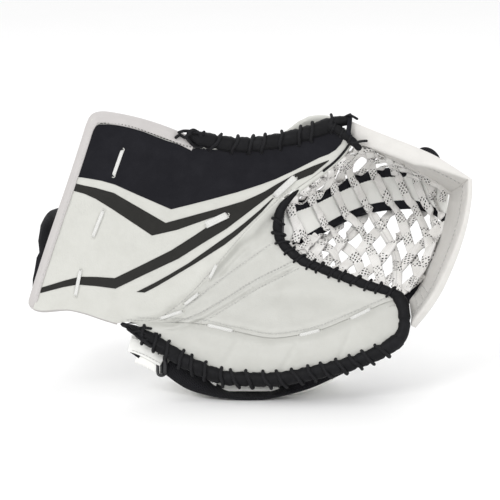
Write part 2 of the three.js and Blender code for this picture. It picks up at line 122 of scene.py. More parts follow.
def spline(points, count, ends=(0.0, 1.0)):
    """A centripetal Catmull-Rom curve, resampled evenly between two shares of its length."""
    p = np.asarray(points, float)
    if len(p) == 2:
        dense = np.linspace(p[0], p[1], 50)
    else:
        p = np.vstack([2 * p[0] - p[1], p, 2 * p[-1] - p[-2]])
        knots = np.concatenate([[0], np.cumsum(np.sqrt(np.linalg.norm(np.diff(p, axis=0), axis=1)) + 1e-9)])
        dense = []
        for i in range(1, len(p) - 2):
            t0, t1, t2, t3 = knots[i - 1 : i + 3]
            t = np.linspace(t1, t2, 24, endpoint=i == len(p) - 3)[:, None]
            a1 = (t1 - t) / (t1 - t0) * p[i - 1] + (t - t0) / (t1 - t0) * p[i]
            a2 = (t2 - t) / (t2 - t1) * p[i] + (t - t1) / (t2 - t1) * p[i + 1]
            a3 = (t3 - t) / (t3 - t2) * p[i + 1] + (t - t2) / (t3 - t2) * p[i + 2]
            b1 = (t2 - t) / (t2 - t0) * a1 + (t - t0) / (t2 - t0) * a2
            b2 = (t3 - t) / (t3 - t1) * a2 + (t - t1) / (t3 - t1) * a3
            dense.append((t2 - t) / (t2 - t1) * b1 + (t - t1) / (t2 - t1) * b2)
        dense = np.vstack(dense)
    return resampled(dense, count, ends)


def travelled(points):
    """The way along a line up to each of its points."""
    return np.concatenate([[0], np.cumsum(np.linalg.norm(np.diff(points, axis=0), axis=1))])


def at_shares(dense, shares):
    """The points at the given shares of a dense line's length."""
    run = travelled(dense)
    at = np.asarray(shares) * run[-1]
    return np.stack([np.interp(at, run, column) for column in dense.T], 1)


def resampled(dense, count, ends=(0.0, 1.0)):
    return at_shares(dense, np.linspace(*ends, count))


def length_of(points):
    return float(np.linalg.norm(np.diff(points, axis=0), axis=1).sum())


def unit(v):
    v = np.asarray(v, float)
    return v / np.maximum(np.linalg.norm(v, axis=-1, keepdims=True), 1e-9)


def to_line(x, z, line):
    """Distance of each (x, z) from a polyline, positive on its left, and the share of the way along."""
    line = np.asarray(line, float)
    best = np.full(np.shape(x), 1e9)
    sign = np.ones(np.shape(x))
    share = np.zeros(np.shape(x))
    run = travelled(line)
    for i, (a, b) in enumerate(zip(line[:-1], line[1:])):
        step = b - a
        t = np.clip(((x - a[0]) * step[0] + (z - a[1]) * step[1]) / (step @ step), 0, 1)
        dx, dz = x - a[0] - t * step[0], z - a[1] - t * step[1]
        distance = np.hypot(dx, dz)
        nearer = distance < best
        best = np.where(nearer, distance, best)
        sign = np.where(nearer, np.sign(step[0] * dz - step[1] * dx), sign)
        share = np.where(nearer, (run[i] + t * np.hypot(*step)) / run[-1], share)
    return best * sign, share


# ---- the palm side -------------------------------------------------------------------------------
def face_depth(x, z):
    """The palm side's plain shape, the same as in the CAD."""
    flare = (-60 - x + np.hypot(-60 - x, 30)) / 2
    wings = 6 - 0.001 * (z - 150) ** 2
    dish = 12 * bump(x, z, 15, 165, 95, 70)
    finger_swell = 8 * bump(x, z, 60, 60, 90, 35)
    return 14 - 0.24 * flare - 0.08 * np.maximum(0, x) + wings + dish - finger_swell


BREAK_SEAM = [
    (-112, 78), (-51, 76), (-17, 69), (21, 62), (48, 65), (70, 70), (100, 82), (121, 91), (138, 98),
    (151.5, 101),
]
FOLD_LINE = [
    (-124, 78), (-95, 78), (-65, 98), (-34, 131), (-12, 157), (6, 177), (22, 192), (32, 201), (44, 210),
]
WELT = [(-92, 72), (-77, 72.5), (-48, 83), (-20, 99), (3, 113.4), (39, 131.5), (48, 136)]
PALM_STITCHES = [(-86, 79), (-60, 96), (-35, 116), (-12, 133), (10, 148.5), (27, 160)]
CREASES = [  # line, depth, half width
    ([(-96, 80), (-66, 97), (-45, 118), (-28, 139)], 2.0, 4.5),
    ([(-60, 93), (-42, 110), (-30, 128), (-14, 148), (4, 168)], 2.8, 5.0),
    ([(-38, 118), (-26, 133), (-12, 147), (8, 166), (26, 188)], 2.2, 4.0),
    ([(-26, 122), (-10, 137), (8, 152), (24, 172)], 1.6, 4.2),
    ([(-6, 149), (8, 160), (20, 173), (28, 190)], 2.0, 3.6),
    ([(-88, 74), (-70, 80), (-52, 92), (-36, 106)], 1.1, 3.0),
    ([(-60, 76), (-36, 88), (-10, 103), (12, 116)], 1.3, 4.4),
    ([(-104, 78), (-86, 83), (-70, 94)], 1.4, 3.0),
    ([(-30, 84), (0, 92), (30, 106), (44, 120)], 1.2, 6.0),
    ([(20, 118), (60, 112), (100, 100)], 0.8, 9.0),
]


def crease(x, z, line, half_width):
    """A valley along a line, fading at both of its ends, with a softer shoulder on its left."""
    distance, share = to_line(x, z, line)
    fade = smooth(np.minimum(share, 1 - share) * 5)
    valley = np.exp(-((distance / half_width) ** 2))
    shoulder = 0.55 * np.exp(-(((distance - 2.2 * half_width) / (1.5 * half_width)) ** 2))
    return fade * (valley - shoulder)


def beside(distance, middle, half_width):
    """1 on the two lines that run middle millimetres beside a line, fading to both sides."""
    return np.exp(-(((np.abs(distance) - middle) / half_width) ** 2))


def detail(x, z):
    """How far the leather lies behind its plain shape: creases, seams and the soft swell between them."""
    behind = np.zeros(np.shape(x))
    for line, depth, half_width in CREASES:
        behind += depth * crease(x, z, line, half_width)
    distance, share = to_line(x, z, WELT)
    inside = smooth(np.minimum(share, 1 - share) * 12)
    behind += inside * (1.1 * beside(distance, 3.1, 1.1) - 1.5 * beside(distance, 0, 2.2))
    distance, share = to_line(x, z, PALM_STITCHES)
    behind += 0.8 * smooth(np.minimum(share, 1 - share) * 12) * beside(distance, 0, 1.3)
    behind += 3.2 * bump(x, z, 12, 178, 26, 22)  # the hollow under the thumb's edge
    behind += 3.6 * bump(x, z, 48, 106, 52, 15)  # and the one below the welt's end
    distance, _ = to_line(x, z, BREAK_SEAM)
    behind += 1.5 * beside(distance, 0, 3.6) - 0.7 * beside(distance, 8, 4)
    ripple = np.sin(0.11 * x + 0.19 * z) * np.sin(0.07 * x - 0.05 * z + 1.3)
    return behind + 0.35 * ripple


def surface(x, z):
    """Depth of the finished leather face."""
    x, z = np.asarray(x, float), np.asarray(z, float)
    return face_depth(x, z) + detail(x, z)


def on_face(points, lift=0.0):
    """(x, z) points on the leather face as design points, lifted towards the palm side."""
    p = np.asarray(points, float)
    return np.stack([p[..., 0], surface(p[..., 0], p[..., 1]) - lift, p[..., 1]], -1)


def plain_face(points, behind=0.0):
    p = np.asarray(points, float)
    return np.stack([p[..., 0], face_depth(p[..., 0], p[..., 1]) + behind, p[..., 1]], -1)


def sideways(points, distance):
    p = np.asarray(points, float)
    ahead = unit(np.gradient(p, axis=0))
    return p + distance * np.stack([-ahead[:, 1], ahead[:, 0]], 1)


# ---- meshes --------------------------------------------------------------------------------------
def new_object(name, points, faces, material, uvs):
    """A mesh object from design points; uvs are per vertex, in metres along and across the piece."""
    mesh = bpy.data.meshes.new(name)
    mesh.from_pydata(place(points).tolist(), [], faces)
    mesh.materials.append(material)
    layer = mesh.uv_layers.new(name="UVMap")
    corners = np.zeros(len(mesh.loops), np.int32)
    mesh.loops.foreach_get("vertex_index", corners)
    layer.data.foreach_set("uv", np.asarray(uvs, np.float32)[corners].ravel())
    obj = bpy.data.objects.new(name, mesh)
    bpy.context.scene.collection.objects.link(obj)
    edit = bmesh.new()
    edit.from_mesh(mesh)
    bmesh.ops.recalc_face_normals(edit, faces=edit.faces)
    edit.to_mesh(mesh)
    edit.free()
    mesh.polygons.foreach_set("use_smooth", [True] * len(mesh.polygons))
    return obj


def soften(obj, width):
    """Rounds the sharp edges."""
    modifier = obj.modifiers.new("rounded", "BEVEL")
    modifier.width, modifier.segments = width * MM, 3
    modifier.limit_method, modifier.angle_limit = "ANGLE", math.radians(50)
    modifier.use_clamp_overlap = True
    applied(obj)


def lattice_uvs(u, v):
    """The uvs in metres of a lattice of points, its first axis at u and its second at v millimetres."""
    return np.stack(np.meshgrid(u, v, indexing="ij"), -1).reshape(-1, 2) * MM


def quads(n):
    """The four-sided faces of a lattice of point numbers."""
    corners = (n[:-1, :-1], n[1:, :-1], n[1:, 1:], n[:-1, 1:])
    return np.stack([corner.ravel() for corner in corners], 1).tolist()


def between(front, back):
    """Points, faces and uvs of the closed body between two grids of the same layout."""
    rows, columns = front.shape[:2]
    number = np.arange(rows * columns).reshape(rows, columns)
    back_number = number + rows * columns
    faces = quads(number) + [[a, d, c, b] for a, b, c, d in quads(back_number)]
    for edge, other in (
        (number[0, ::-1], back_number[0, ::-1]),
        (number[-1], back_number[-1]),
        (number[:, 0], back_number[:, 0]),
        (number[::-1, -1], back_number[::-1, -1]),
    ):
        faces.extend(np.stack([edge[:-1], other[:-1], other[1:], edge[1:]], 1).tolist())
    uvs = lattice_uvs(travelled(front[:, columns // 2]), travelled(front[rows // 2]))
    return np.vstack([front.reshape(-1, 3), back.reshape(-1, 3)]), faces, np.vstack([uvs, uvs])


def backed(front, thick):
    """The body between a grid and the same grid thick millimetres behind it."""
    return between(front, front + [0, thick, 0])


def frames_along(points, facing):
    """The directions ahead, across and up at each point, with up leaning to facing."""
    ahead = unit(np.gradient(points, axis=0))
    facing = np.broadcast_to(np.asarray(facing, float), points.shape)
    across = unit(np.cross(ahead, facing))
    return ahead, across, np.cross(across, ahead)


def sweep(points, section, facing, size=None, ends="flat", twist=None):
    """Points, faces and uvs of a section swept along points. The section's second axis leans to facing."""
    points = np.asarray(points, float)
    section = np.asarray(section, float)
    size = np.ones(len(points)) if size is None else np.broadcast_to(size, len(points)).astype(float)
    ahead, across, up = frames_along(points, facing)
    if twist is not None:
        c, s = np.cos(twist)[:, None], np.sin(twist)[:, None]
        across, up = c * across + s * up, c * up - s * across
    if ends == "round":
        reach = np.abs(section).max(0).min()
        steps = np.radians([30, 60, 82])
        first = [points[0] - ahead[0] * reach * size[0] * math.sin(a) for a in steps[::-1]]
        last = [points[-1] + ahead[-1] * reach * size[-1] * math.sin(a) for a in steps]
        index = [0, 0, 0, *range(len(points)), -1, -1, -1]
        points = np.vstack([first, points, last])
        size = np.concatenate([size[0] * np.cos(steps[::-1]), size, size[-1] * np.cos(steps)])
        across, up = across[index], up[index]
    k = len(section)
    rings = (
        points[:, None]
        + across[:, None] * (section[None, :, 0] * size[:, None])[..., None]
        + up[:, None] * (section[None, :, 1] * size[:, None])[..., None]
    )
    number = np.arange(len(points) * k).reshape(len(points), k)
    faces = quads(np.hstack([number, number[:, :1]])) + [number[0].tolist(), number[-1][::-1].tolist()]
    return rings.reshape(-1, 3), faces, lattice_uvs(travelled(points), travelled(section))


def merged(parts):
    """Several (points, faces, uvs) as one."""
    points, faces, uvs, start = [], [], [], 0
    for p, f, uv in parts:
        points.append(p)
        uvs.append(uv)
        faces += [[i + start for i in face] for face in f]
        start += len(p)
    return np.vstack(points), faces, np.vstack(uvs)


def piece(name, parts, material, body=None, replaces=(), edge=0.0, sharp=0, stuff=None):
    """Makes a piece from (points, faces, uvs), on its body or across the fold, and says what it replaces."""
    points, faces, uvs = parts
    obj = new_object(name, points, faces, material, uvs)
    if edge:
        soften(obj, edge)
    if sharp:
        obj.data.set_sharp_from_angle(angle=math.radians(sharp))
    if stuff:
        stuffed(obj, *stuff)
    if body:
        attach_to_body(obj, body)
    else:
        attach(obj, points)
    if replaces:
        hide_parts(*replaces)
    return obj


def applied(obj):
    """Makes the modifiers part of the mesh."""
    if obj.modifiers:
        graph = bpy.context.evaluated_depsgraph_get()
        shaped = bpy.data.meshes.new_from_object(obj.evaluated_get(graph), depsgraph=graph)
        obj.modifiers.clear()
        obj.data = shaped


def thickened(lower, upper, steps, thick):
    """Two grids: one ruled between two curves, the other thick(i, j) millimetres along its normals."""
    grid = ruled(lower, upper, steps)
    normal = unit(np.cross(np.gradient(grid, axis=0), np.gradient(grid, axis=1)))
    i = np.linspace(0, 1, steps[0] + 1)[:, None]
    j = np.linspace(0, 1, steps[1] + 1)[None, :]
    return grid, grid + normal * np.broadcast_to(thick(i, j), grid.shape[:2])[..., None]


def crown(i, j, edge_i=0.14, edge_j=0.14):
    """1 in the middle of a pad, falling off round to 0 at its edges."""
    def side(t, edge):
        t = np.clip(np.minimum(t, 1 - t) / edge, 0, 1)
        return np.sqrt(1 - (1 - t) ** 2)
    return side(i, edge_i) * side(j, edge_j)


STUFFING_FRAMES, STUFFING_PRESSURE = 20, 4.0


def corners_of(mesh):
    """A mesh's points, one to a row."""
    found = np.zeros(len(mesh.vertices) * 3)
    mesh.vertices.foreach_get("co", found)
    return found.reshape(-1, 3)


def stuffed(obj, voxel, cap, held):
    """Swells a pad by a short cloth simulation under inner pressure; held(points) in 0..1 pins its seams."""
    remesh = obj.modifiers.new("even", "REMESH")
    remesh.mode, remesh.voxel_size = "VOXEL", voxel * MM
    applied(obj)
    mesh = obj.data
    rest = corners_of(mesh)
    cloth = obj.modifiers.new("stuffing", "CLOTH")
    settings = cloth.settings
    settings.quality = 5
    settings.use_pressure, settings.uniform_pressure_force = True, STUFFING_PRESSURE
    settings.effector_weights.gravity = 0
    group = obj.vertex_groups.new(name="seams")
    for index, weight in enumerate(held(designed(rest))):
        if weight > 0.02:
            group.add([index], float(weight), "REPLACE")
    settings.vertex_group_mass = "seams"
    cloth.collision_settings.use_collision = False
    cloth.point_cache.frame_start, cloth.point_cache.frame_end = 1, STUFFING_FRAMES
    scene = bpy.context.scene
    for number in range(1, STUFFING_FRAMES + 1):
        scene.frame_set(number)
    graph = bpy.context.evaluated_depsgraph_get()
    step = corners_of(obj.evaluated_get(graph).data) - rest
    obj.modifiers.clear()
    obj.vertex_groups.clear()
    scene.frame_set(1)
    size = np.linalg.norm(step, axis=1, keepdims=True)
    step *= np.minimum(1, cap * MM / np.maximum(size, 1e-9))
    mesh.vertices.foreach_set("co", (rest + step).ravel())
    smooth_out = obj.modifiers.new("even", "SMOOTH")
    smooth_out.factor, smooth_out.iterations = 0.5, 3
    obj.modifiers.new("finer", "SUBSURF").levels = 1
    applied(obj)
    obj.data.polygons.foreach_set("use_smooth", [True] * len(obj.data.polygons))


def designed(points):
    """Row-frame points in metres back in the design frame."""
    x, y, z = ((np.asarray(points) - ORIGIN) / MM).T
    c, s = math.cos(LEAN), math.sin(LEAN)
    return np.stack([x, y * c - z * s, y * s + z * c], 1)


def laid_on(obj, points, heading, reach=60.0):
    """Points moved along heading until they lie on a piece; those that miss it are left out."""
    faces = [tuple(p.vertices) for p in obj.data.polygons]
    tree = BVHTree.FromPolygons(corners_of(obj.data).tolist(), faces)
    heading = np.asarray(heading, float)
    ray = Vector(unit(leaned(heading)[0]))
    hits = [tree.ray_cast(Vector(start), ray)[0] for start in place(np.asarray(points) - heading * reach)]
    return designed([hit for hit in hits if hit is not None])


def circle(radius, sides):
    a = 2 * math.pi * np.arange(sides) / sides
    return np.stack([radius * np.cos(a), radius * np.sin(a)], 1)


def strap_section(width, thick, corner=4):
    """A flat section with rounded edges."""
    r = thick / 2
    a = np.radians(np.linspace(-90, 90, corner + 1))
    right = np.stack([width / 2 - r + r * np.cos(a), r * np.sin(a)], 1)
    middle = np.array([[0, r]])
    return np.vstack([right, middle, -right, -middle])


def on_edge(width, thick):
    """A flat section that stands on its edge."""
    return strap_section(width, thick)[:, ::-1]


# ---- materials -----------------------------------------------------------------------------------
class Nodes:
    """Builds a material's node tree with little repetition."""

    def __init__(self, name, color, roughness):
        self.material = bpy.data.materials.new(name)
        self.material.use_nodes = True
        self.tree = self.material.node_tree
        self.shader = self.tree.nodes["Principled BSDF"]
        self.shader.inputs["Base Color"].default_value = (*color, 1)
        self.shader.inputs["Roughness"].default_value = roughness
        self.material.diffuse_color = (*color, 1)
        self.object_space = self.add("ShaderNodeTexCoord").outputs["Object"]

    def add(self, kind, inputs=None, **settings):
        node = self.tree.nodes.new(kind)
        for key, value in settings.items():
            setattr(node, key, value)
        for key, value in (inputs or {}).items():
            if isinstance(value, bpy.types.NodeSocket):
                self.tree.links.new(value, node.inputs[key])
            else:
                node.inputs[key].default_value = value
        return node

    def noise(self, scale, detail_level=3.0, roughness=0.5):
        inputs = {"Scale": scale, "Detail": detail_level, "Roughness": roughness}
        inputs["Vector"] = self.object_space
        return self.add("ShaderNodeTexNoise", inputs).outputs["Fac"]

    def ramp(self, value, low, high, to_low=0.0, to_high=1.0):
        inputs = {"Value": value, "From Min": low, "From Max": high, "To Min": to_low, "To Max": to_high}
        return self.add("ShaderNodeMapRange", inputs).outputs["Result"]

    def math(self, operation, a, b=0.0):
        return self.add("ShaderNodeMath", {0: a, 1: b}, operation=operation).outputs[0]

    def wave(self, value, pitch):
        return self.math("SINE", self.math("MULTIPLY", value, 2 * math.pi / pitch))

    def flat_axes(self):
        """The way along and across the piece, from its uvs."""
        uv = self.add("ShaderNodeUVMap", uv_map="UVMap").outputs["UV"]
        return self.add("ShaderNodeSeparateXYZ", {"Vector": uv}).outputs

    def strands(self, axes, pitch):
        """Two crossing sets of strands, the upper one showing."""
        slanted = [self.math(operation, axes["X"], axes["Y"]) for operation in ("ADD", "SUBTRACT")]
        return self.math("MAXIMUM", *[self.wave(value, pitch) for value in slanted])

    def mix(self, factor, a, b):
        node = self.add("ShaderNodeMix", {"Factor": factor}, data_type="RGBA")
        for socket, value in ((node.inputs[6], a), (node.inputs[7], b)):
            if isinstance(value, bpy.types.NodeSocket):
                self.tree.links.new(value, socket)
            else:
                socket.default_value = (*value, 1)
        return node.outputs[2]

    def set(self, name, value):
        socket = self.shader.inputs[name]
        if isinstance(value, bpy.types.NodeSocket):
            self.tree.links.new(value, socket)
        else:
            socket.default_value = value

    def bump(self, height, distance, strength=1.0, below=None):
        inputs = {"Height": height, "Distance": distance, "Strength": strength}
        if below is not None:
            inputs["Normal"] = below
        return self.add("ShaderNodeBump", inputs).outputs["Normal"]


def leather(name, color, shade, roughness, pebble=620, depth=0.00016, gloss=0.32):
    """Synthetic leather: a fine pebbled grain and soft mottling."""
    n = Nodes(name, color, roughness)
    cells = n.add("ShaderNodeTexVoronoi", {"Vector": n.object_space, "Scale": pebble}, feature="SMOOTH_F1")
    cells.inputs["Smoothness"].default_value = 0.5
    fine = n.noise(1500, 2.0)
    pebbles = n.math("MULTIPLY", cells.outputs["Distance"], -1.0)
    height = n.math("ADD", pebbles, n.math("MULTIPLY", fine, 0.35))
    broad = n.noise(38, 4.0)
    first = n.bump(broad, 0.0009, 0.35)
    n.set("Normal", n.bump(height, depth, 0.5, first))
    mottling = n.ramp(n.noise(55, 5.0, roughness=0.65), 0.42, 0.72)
    n.set("Base Color", n.mix(n.math("MULTIPLY", mottling, 0.55), color, shade))
    n.set("Roughness", n.ramp(n.noise(90, 3.0), 0.3, 0.7, roughness - 0.07, roughness + 0.08))
    n.set("Specular IOR Level", gloss)
    return n.material


def woven(name, color, shade, pitch, roughness=0.8, depth=0.0002):
    """Plain-weave cloth: two crossed sets of threads in object space."""
    n = Nodes(name, color, roughness)
    axes = n.add("ShaderNodeSeparateXYZ", {"Vector": n.object_space}).outputs
    warp = n.wave(n.math("ADD", axes["X"], axes["Y"]), pitch)
    weft = n.wave(n.math("SUBTRACT", axes["Z"], axes["Y"]), pitch)
    cross = n.math("MULTIPLY", warp, weft)
    n.set("Normal", n.bump(cross, depth, 0.8, n.bump(n.noise(60, 3.0), 0.0008, 0.4)))
    n.set("Base Color", n.mix(n.ramp(cross, -1, 1), color, shade))
    n.set("Sheen Weight", 0.06)
    n.set("Sheen Roughness", 0.5)
    n.set("Specular IOR Level", 0.15)
    return n.material


def braided(name, color, shade, pitch=0.0016, gloss=0.15):
    """Waxed braided cord: crossing strands in its own uv space."""
    n = Nodes(name, color, 0.6)
    height = n.strands(n.flat_axes(), pitch)
    n.set("Normal", n.bump(height, 0.00025, 0.7))
    n.set("Base Color", n.mix(n.ramp(height, -0.4, 1), color, shade))
    n.set("Specular IOR Level", gloss)
    return n.material


FLECK_PITCH = 0.030  # from one group of tracer threads to the next
LACE_EDGE, LACE_FACE = 0.0012, 0.0099  # a lace's first edge in its uvs, and the way to the other edge


def flecked_lace(name):
    """White flat lace with groups of short dark tracer threads."""
    # The lace's white is raised as painted light, to make up for the shade deep in the pocket.
    white, shadow, dark = (0.90, 0.885, 0.865), (0.78, 0.765, 0.745), (0.010, 0.010, 0.013)
    n = Nodes(name, white, 0.75)
    axes = n.flat_axes()
    weave = n.strands(axes, 0.0022)
    n.set("Normal", n.bump(weave, 0.0002, 0.6, n.bump(n.noise(170, 3.0), 0.0012, 0.5)))
    slanted = n.math("ADD", axes["X"], n.math("MULTIPLY", axes["Y"], 0.9))
    rows = n.math("GREATER_THAN", n.wave(slanted, 0.0038), 0.0)
    crossing = n.math("SUBTRACT", axes["Y"], n.math("MULTIPLY", axes["X"], 0.4))
    dashes = n.math("GREATER_THAN", n.wave(crossing, 0.0033), -0.3)
    group = n.math("GREATER_THAN", n.wave(axes["X"], FLECK_PITCH), 0.1)
    kept = n.math("GREATER_THAN", n.noise(330, 1.0), 0.42)
    # Painted shade: darker lines along both edges of the flat, where the lace's edges are shadowed.
    edges = n.math("ABSOLUTE", n.wave(n.math("SUBTRACT", axes["Y"], LACE_EDGE), 2 * LACE_FACE))
    painted_edge_shade = n.ramp(edges, 0.42, 0.16)
    fleck = n.math("MULTIPLY", n.math("MULTIPLY", rows, dashes), n.math("MULTIPLY", group, kept))
    base = n.mix(n.ramp(weave, 1.0, -0.3), white, shadow)
    worn = n.mix(n.math("MULTIPLY", n.ramp(n.noise(60, 4.0), 0.45, 0.7), 0.5), base, (0.66, 0.64, 0.61))
    edge_shaded_lace = n.mix(n.math("MULTIPLY", painted_edge_shade, 0.6), worn, (0.42, 0.41, 0.40))
    n.set("Base Color", n.mix(fleck, edge_shaded_lace, dark))
    n.set("Sheen Weight", 0.2)
    return n.material


def napped(name, color, shade, scale=900, depth=0.0005):
    """Brushed lining or hook-and-loop pile."""
    n = Nodes(name, color, 0.95)
    fuzz = n.noise(scale, 6.0, roughness=0.8)
    n.set("Normal", n.bump(fuzz, depth, 0.9))
    n.set("Base Color", n.mix(n.ramp(fuzz, 0.35, 0.65), shade, color))
    n.set("Sheen Weight", 0.5)
    return n.material


def plastic(name, color, roughness=0.35):
    n = Nodes(name, color, roughness)
    n.set("Normal", n.bump(n.noise(1400, 2.0), 0.00005, 0.5))
    n.set("Roughness", n.ramp(n.noise(160, 3.0), 0.3, 0.7, roughness - 0.08, roughness + 0.1))
    return n.material


WHITE = leather("white leather", (0.565, 0.565, 0.53), (0.505, 0.505, 0.47), 0.48)
# Painted shade: a darker copy of the white leather for the palm and the finger panel, which lie in shade.
SHADED_PALM_WHITE = leather("white leather darkened as painted shade", (0.515, 0.515, 0.485), (0.46, 0.46, 0.43), 0.48)
EDGE_WHITE = leather("white rim leather", (0.495, 0.475, 0.467), (0.445, 0.425, 0.418), 0.44)
BAND_WHITE = leather("white band leather", (0.65, 0.635, 0.61), (0.58, 0.565, 0.54), 0.5)
# Painted light: a lighter copy of the white leather for the spine, the little finger's pad and the heel tab,
# which sit in shade deep in the pocket or under the finger roll.
PAINTED_LIGHT_WHITE = leather("white leather lightened as painted light", (0.86, 0.86, 0.83), (0.80, 0.80, 0.77), 0.5)
BLACK = leather("black leather", (0.006, 0.006, 0.009), (0.012, 0.012, 0.016), 0.55, gloss=0.14)
ROLL_BLACK = leather("black roll leather", (0.006, 0.006, 0.007), (0.014, 0.014, 0.016), 0.6, 480, 0.0003,
                     0.14)
GREY = leather("charcoal inlay", (0.020, 0.0195, 0.018), (0.027, 0.026, 0.024), 0.58, gloss=0.14)
NYLON = woven("black nylon", (0.007, 0.007, 0.009), (0.018, 0.018, 0.021), 0.0016)
WEBBING = woven("black webbing", (0.006, 0.006, 0.008), (0.018, 0.018, 0.021), 0.0026, 0.75, 0.0004)
CORD = braided("black lacing cord", (0.005, 0.005, 0.006), (0.018, 0.018, 0.020))
LACE = flecked_lace("flecked pocket lace")
PLAIN_LACE = braided("white lace", (0.60, 0.60, 0.58), (0.72, 0.72, 0.70), 0.0022, 0.3)
FELT = napped("grey lining", (0.16, 0.16, 0.17), (0.09, 0.09, 0.095))
PILE = napped("loop pile", (0.022, 0.022, 0.025), (0.010, 0.010, 0.011), 700, 0.0008)
FOAM = napped("foam board", (0.06, 0.06, 0.065), (0.04, 0.04, 0.043), 500, 0.0003)
PLASTIC = plastic("black plastic", (0.012, 0.012, 0.014))
THREAD_WHITE = braided("white thread", (0.54, 0.54, 0.52), (0.68, 0.68, 0.66), 0.0008, 0.3)
THREAD_BLACK = braided("black thread", (0.012, 0.012, 0.014), (0.03, 0.03, 0.033), 0.0008)


# ---- recurring parts -----------------------------------------------------------------------------
STITCH_SHARE = 0.66  # of the thread that shows


def stitched(points, facing, pitch, radius=0.42, rise=0.5):
    """A run of thread stitches along points: short bent cords that dip into the leather at both ends."""
    run = length_of(points)
    count = max(2, int(run / pitch))
    facing = np.broadcast_to(np.asarray(facing, float), np.shape(points))
    parts = []
    for k in range(count):
        ends = (k + (1 - STITCH_SHARE) / 2) / count, (k + (1 + STITCH_SHARE) / 2) / count
        line = resampled(np.hstack([points, facing]), 4, ends)
        lift = np.array([-0.5, rise, rise, -0.5])[:, None]
        parts.append(sweep(line[:, :3] + unit(line[:, 3:]) * lift, circle(radius, 5), line[:, 3:]))
    return merged(parts)


def laced_roll(name, path, radius, wraps, inward, slant, nodes, taper, share, cord=1.6, proud=1.8):
    """A leather roll pinched by the cord that laces it to its panel; inward is the panel's side."""
    count = max(40, int(length_of(path) / 1.6))
    centre = resampled(np.asarray(path), count)
    s = np.linspace(0, 1, count)
    size = taper(s)
    at = np.linspace(share[0], share[1], wraps + 2)[1:-1] + rng.uniform(-0.12, 0.12, wraps) / wraps
    spread = 2.4 / length_of(centre)
    pinch = sum(np.exp(-(((s - a) / spread) ** 2)) for a in at)
    run = s * length_of(centre)
    swell = 1.03 - 0.16 * np.clip(pinch, 0, 1) + 0.022 * np.sin(run * 1.1) + 0.02 * np.sin(run * 0.37)
    body = sweep(centre, circle(radius, 20), AWAY, size * swell, ends="round")
    piece(name, body, ROLL_BLACK, replaces=nodes[:1])
    ahead, across, up = frames_along(centre, AWAY)
    cords = []
    for a in at:
        middle = int(a * (count - 1))
        r = radius * size[middle]
        thick = min(cord, 0.36 * r)
        lean = slant * (3.6 + rng.uniform(-1.2, 1.2))
        turn = np.radians(np.linspace(0, 360, 33)[:-1])
        wide = r * 0.88 + thick * 0.5
        loop = (
            centre[middle]
            + np.outer(np.cos(turn), across[middle]) * wide
            + np.outer(np.sin(turn), up[middle]) * wide
            + np.outer(np.maximum(0, np.cos(turn) * inward) ** 4, across[middle]) * inward * 1.6
            - np.outer(np.maximum(0, -np.cos(turn) * inward) ** 6, across[middle]) * inward * proud
            + np.outer(lean * np.cos(turn + 0.25) + 0.5 * np.sin(3 * turn + a * 40), ahead[middle])
        )
        cords.append(ring(loop, circle(thick, 8), centre[middle]))
    # The run of cord from wrap to wrap, on the side away from the palm.
    back = centre + up * (radius * size * 0.96)[:, None] - across * inward * radius * 0.2
    cords.append(sweep(resampled(back, count // 2, (at[0], at[-1])), circle(1.3, 6), AWAY))
    piece(nodes[1] + "_cord", merged(cords), CORD, replaces=nodes[1:])


def ring(loop, section, middle):
    """A section swept round a closed loop."""
    n, k = len(loop), len(section)
    ahead = unit(np.roll(loop, -1, 0) - np.roll(loop, 1, 0))
    out = unit(loop - middle)
    across = unit(np.cross(ahead, out))
    up = np.cross(across, ahead)
    rings = loop[:, None] + across[:, None] * section[None, :, :1] + up[:, None] * section[None, :, 1:]
    number = np.arange(n * k).reshape(n, k)
    joined = np.vstack([number, number[:1]])
    faces = quads(np.hstack([joined, joined[:, :1]]))
    return rings.reshape(-1, 3), faces, lattice_uvs(travelled(loop), np.arange(k) * 1.0)


def lattice(lower, upper, columns):
    """Points in straight rows from one line to another of the same length."""
    w = np.linspace(0, 1, columns)[None, :, None]
    return lower[:, None] * (1 - w) + upper[:, None] * w


def ruled(lower, upper, steps):
    return lattice(spline(lower, steps[0] + 1), spline(upper, steps[0] + 1), steps[1] + 1)


# ---- camera, light and floor ---------------------------------------------------------------------
VIEW_DISTANCE = 2400.0
PICTURE_MM = 500.0  # what the picture's width covers at the palm side
SENSOR = 36.0


def set_camera():
    data = bpy.data.cameras.new("camera")
    data.sensor_width = SENSOR
    data.lens = SENSOR * VIEW_DISTANCE / PICTURE_MM
    camera = bpy.data.objects.new("camera", data)
    camera.location = place([0, -VIEW_DISTANCE, 150])[0]
    camera.rotation_euler = (math.pi / 2 - LEAN, 0, 0)
    data.clip_end = 100
    bpy.context.scene.collection.objects.link(camera)
    bpy.context.scene.camera = camera


def set_stage():
    n = Nodes("floor", (0.94, 0.94, 0.94), 0.9)
    n.set("Base Color", n.mix(n.noise(3, 2.0), (0.94, 0.94, 0.94), (0.92, 0.92, 0.92)))
    half = 30.0
    corners = [(-half, -half, 0), (half, -half, 0), (half, half, 0), (-half, half, 0)]
    mesh = bpy.data.meshes.new("floor")
    mesh.from_pydata(corners, [], [(0, 1, 2, 3)])
    mesh.materials.append(n.material)
    floor = bpy.data.objects.new("floor", mesh)
    bpy.context.scene.collection.objects.link(floor)


def area_light(name, location, target, size, power):
    data = bpy.data.lights.new(name, "AREA")
    data.shape, data.size, data.energy = "DISK", size, power
    light = bpy.data.objects.new(name, data)
    light.location = location
    direction = np.subtract(target, location)
    light.rotation_euler = Vector(direction).to_track_quat("-Z", "Y").to_euler()
    bpy.context.scene.collection.objects.link(light)


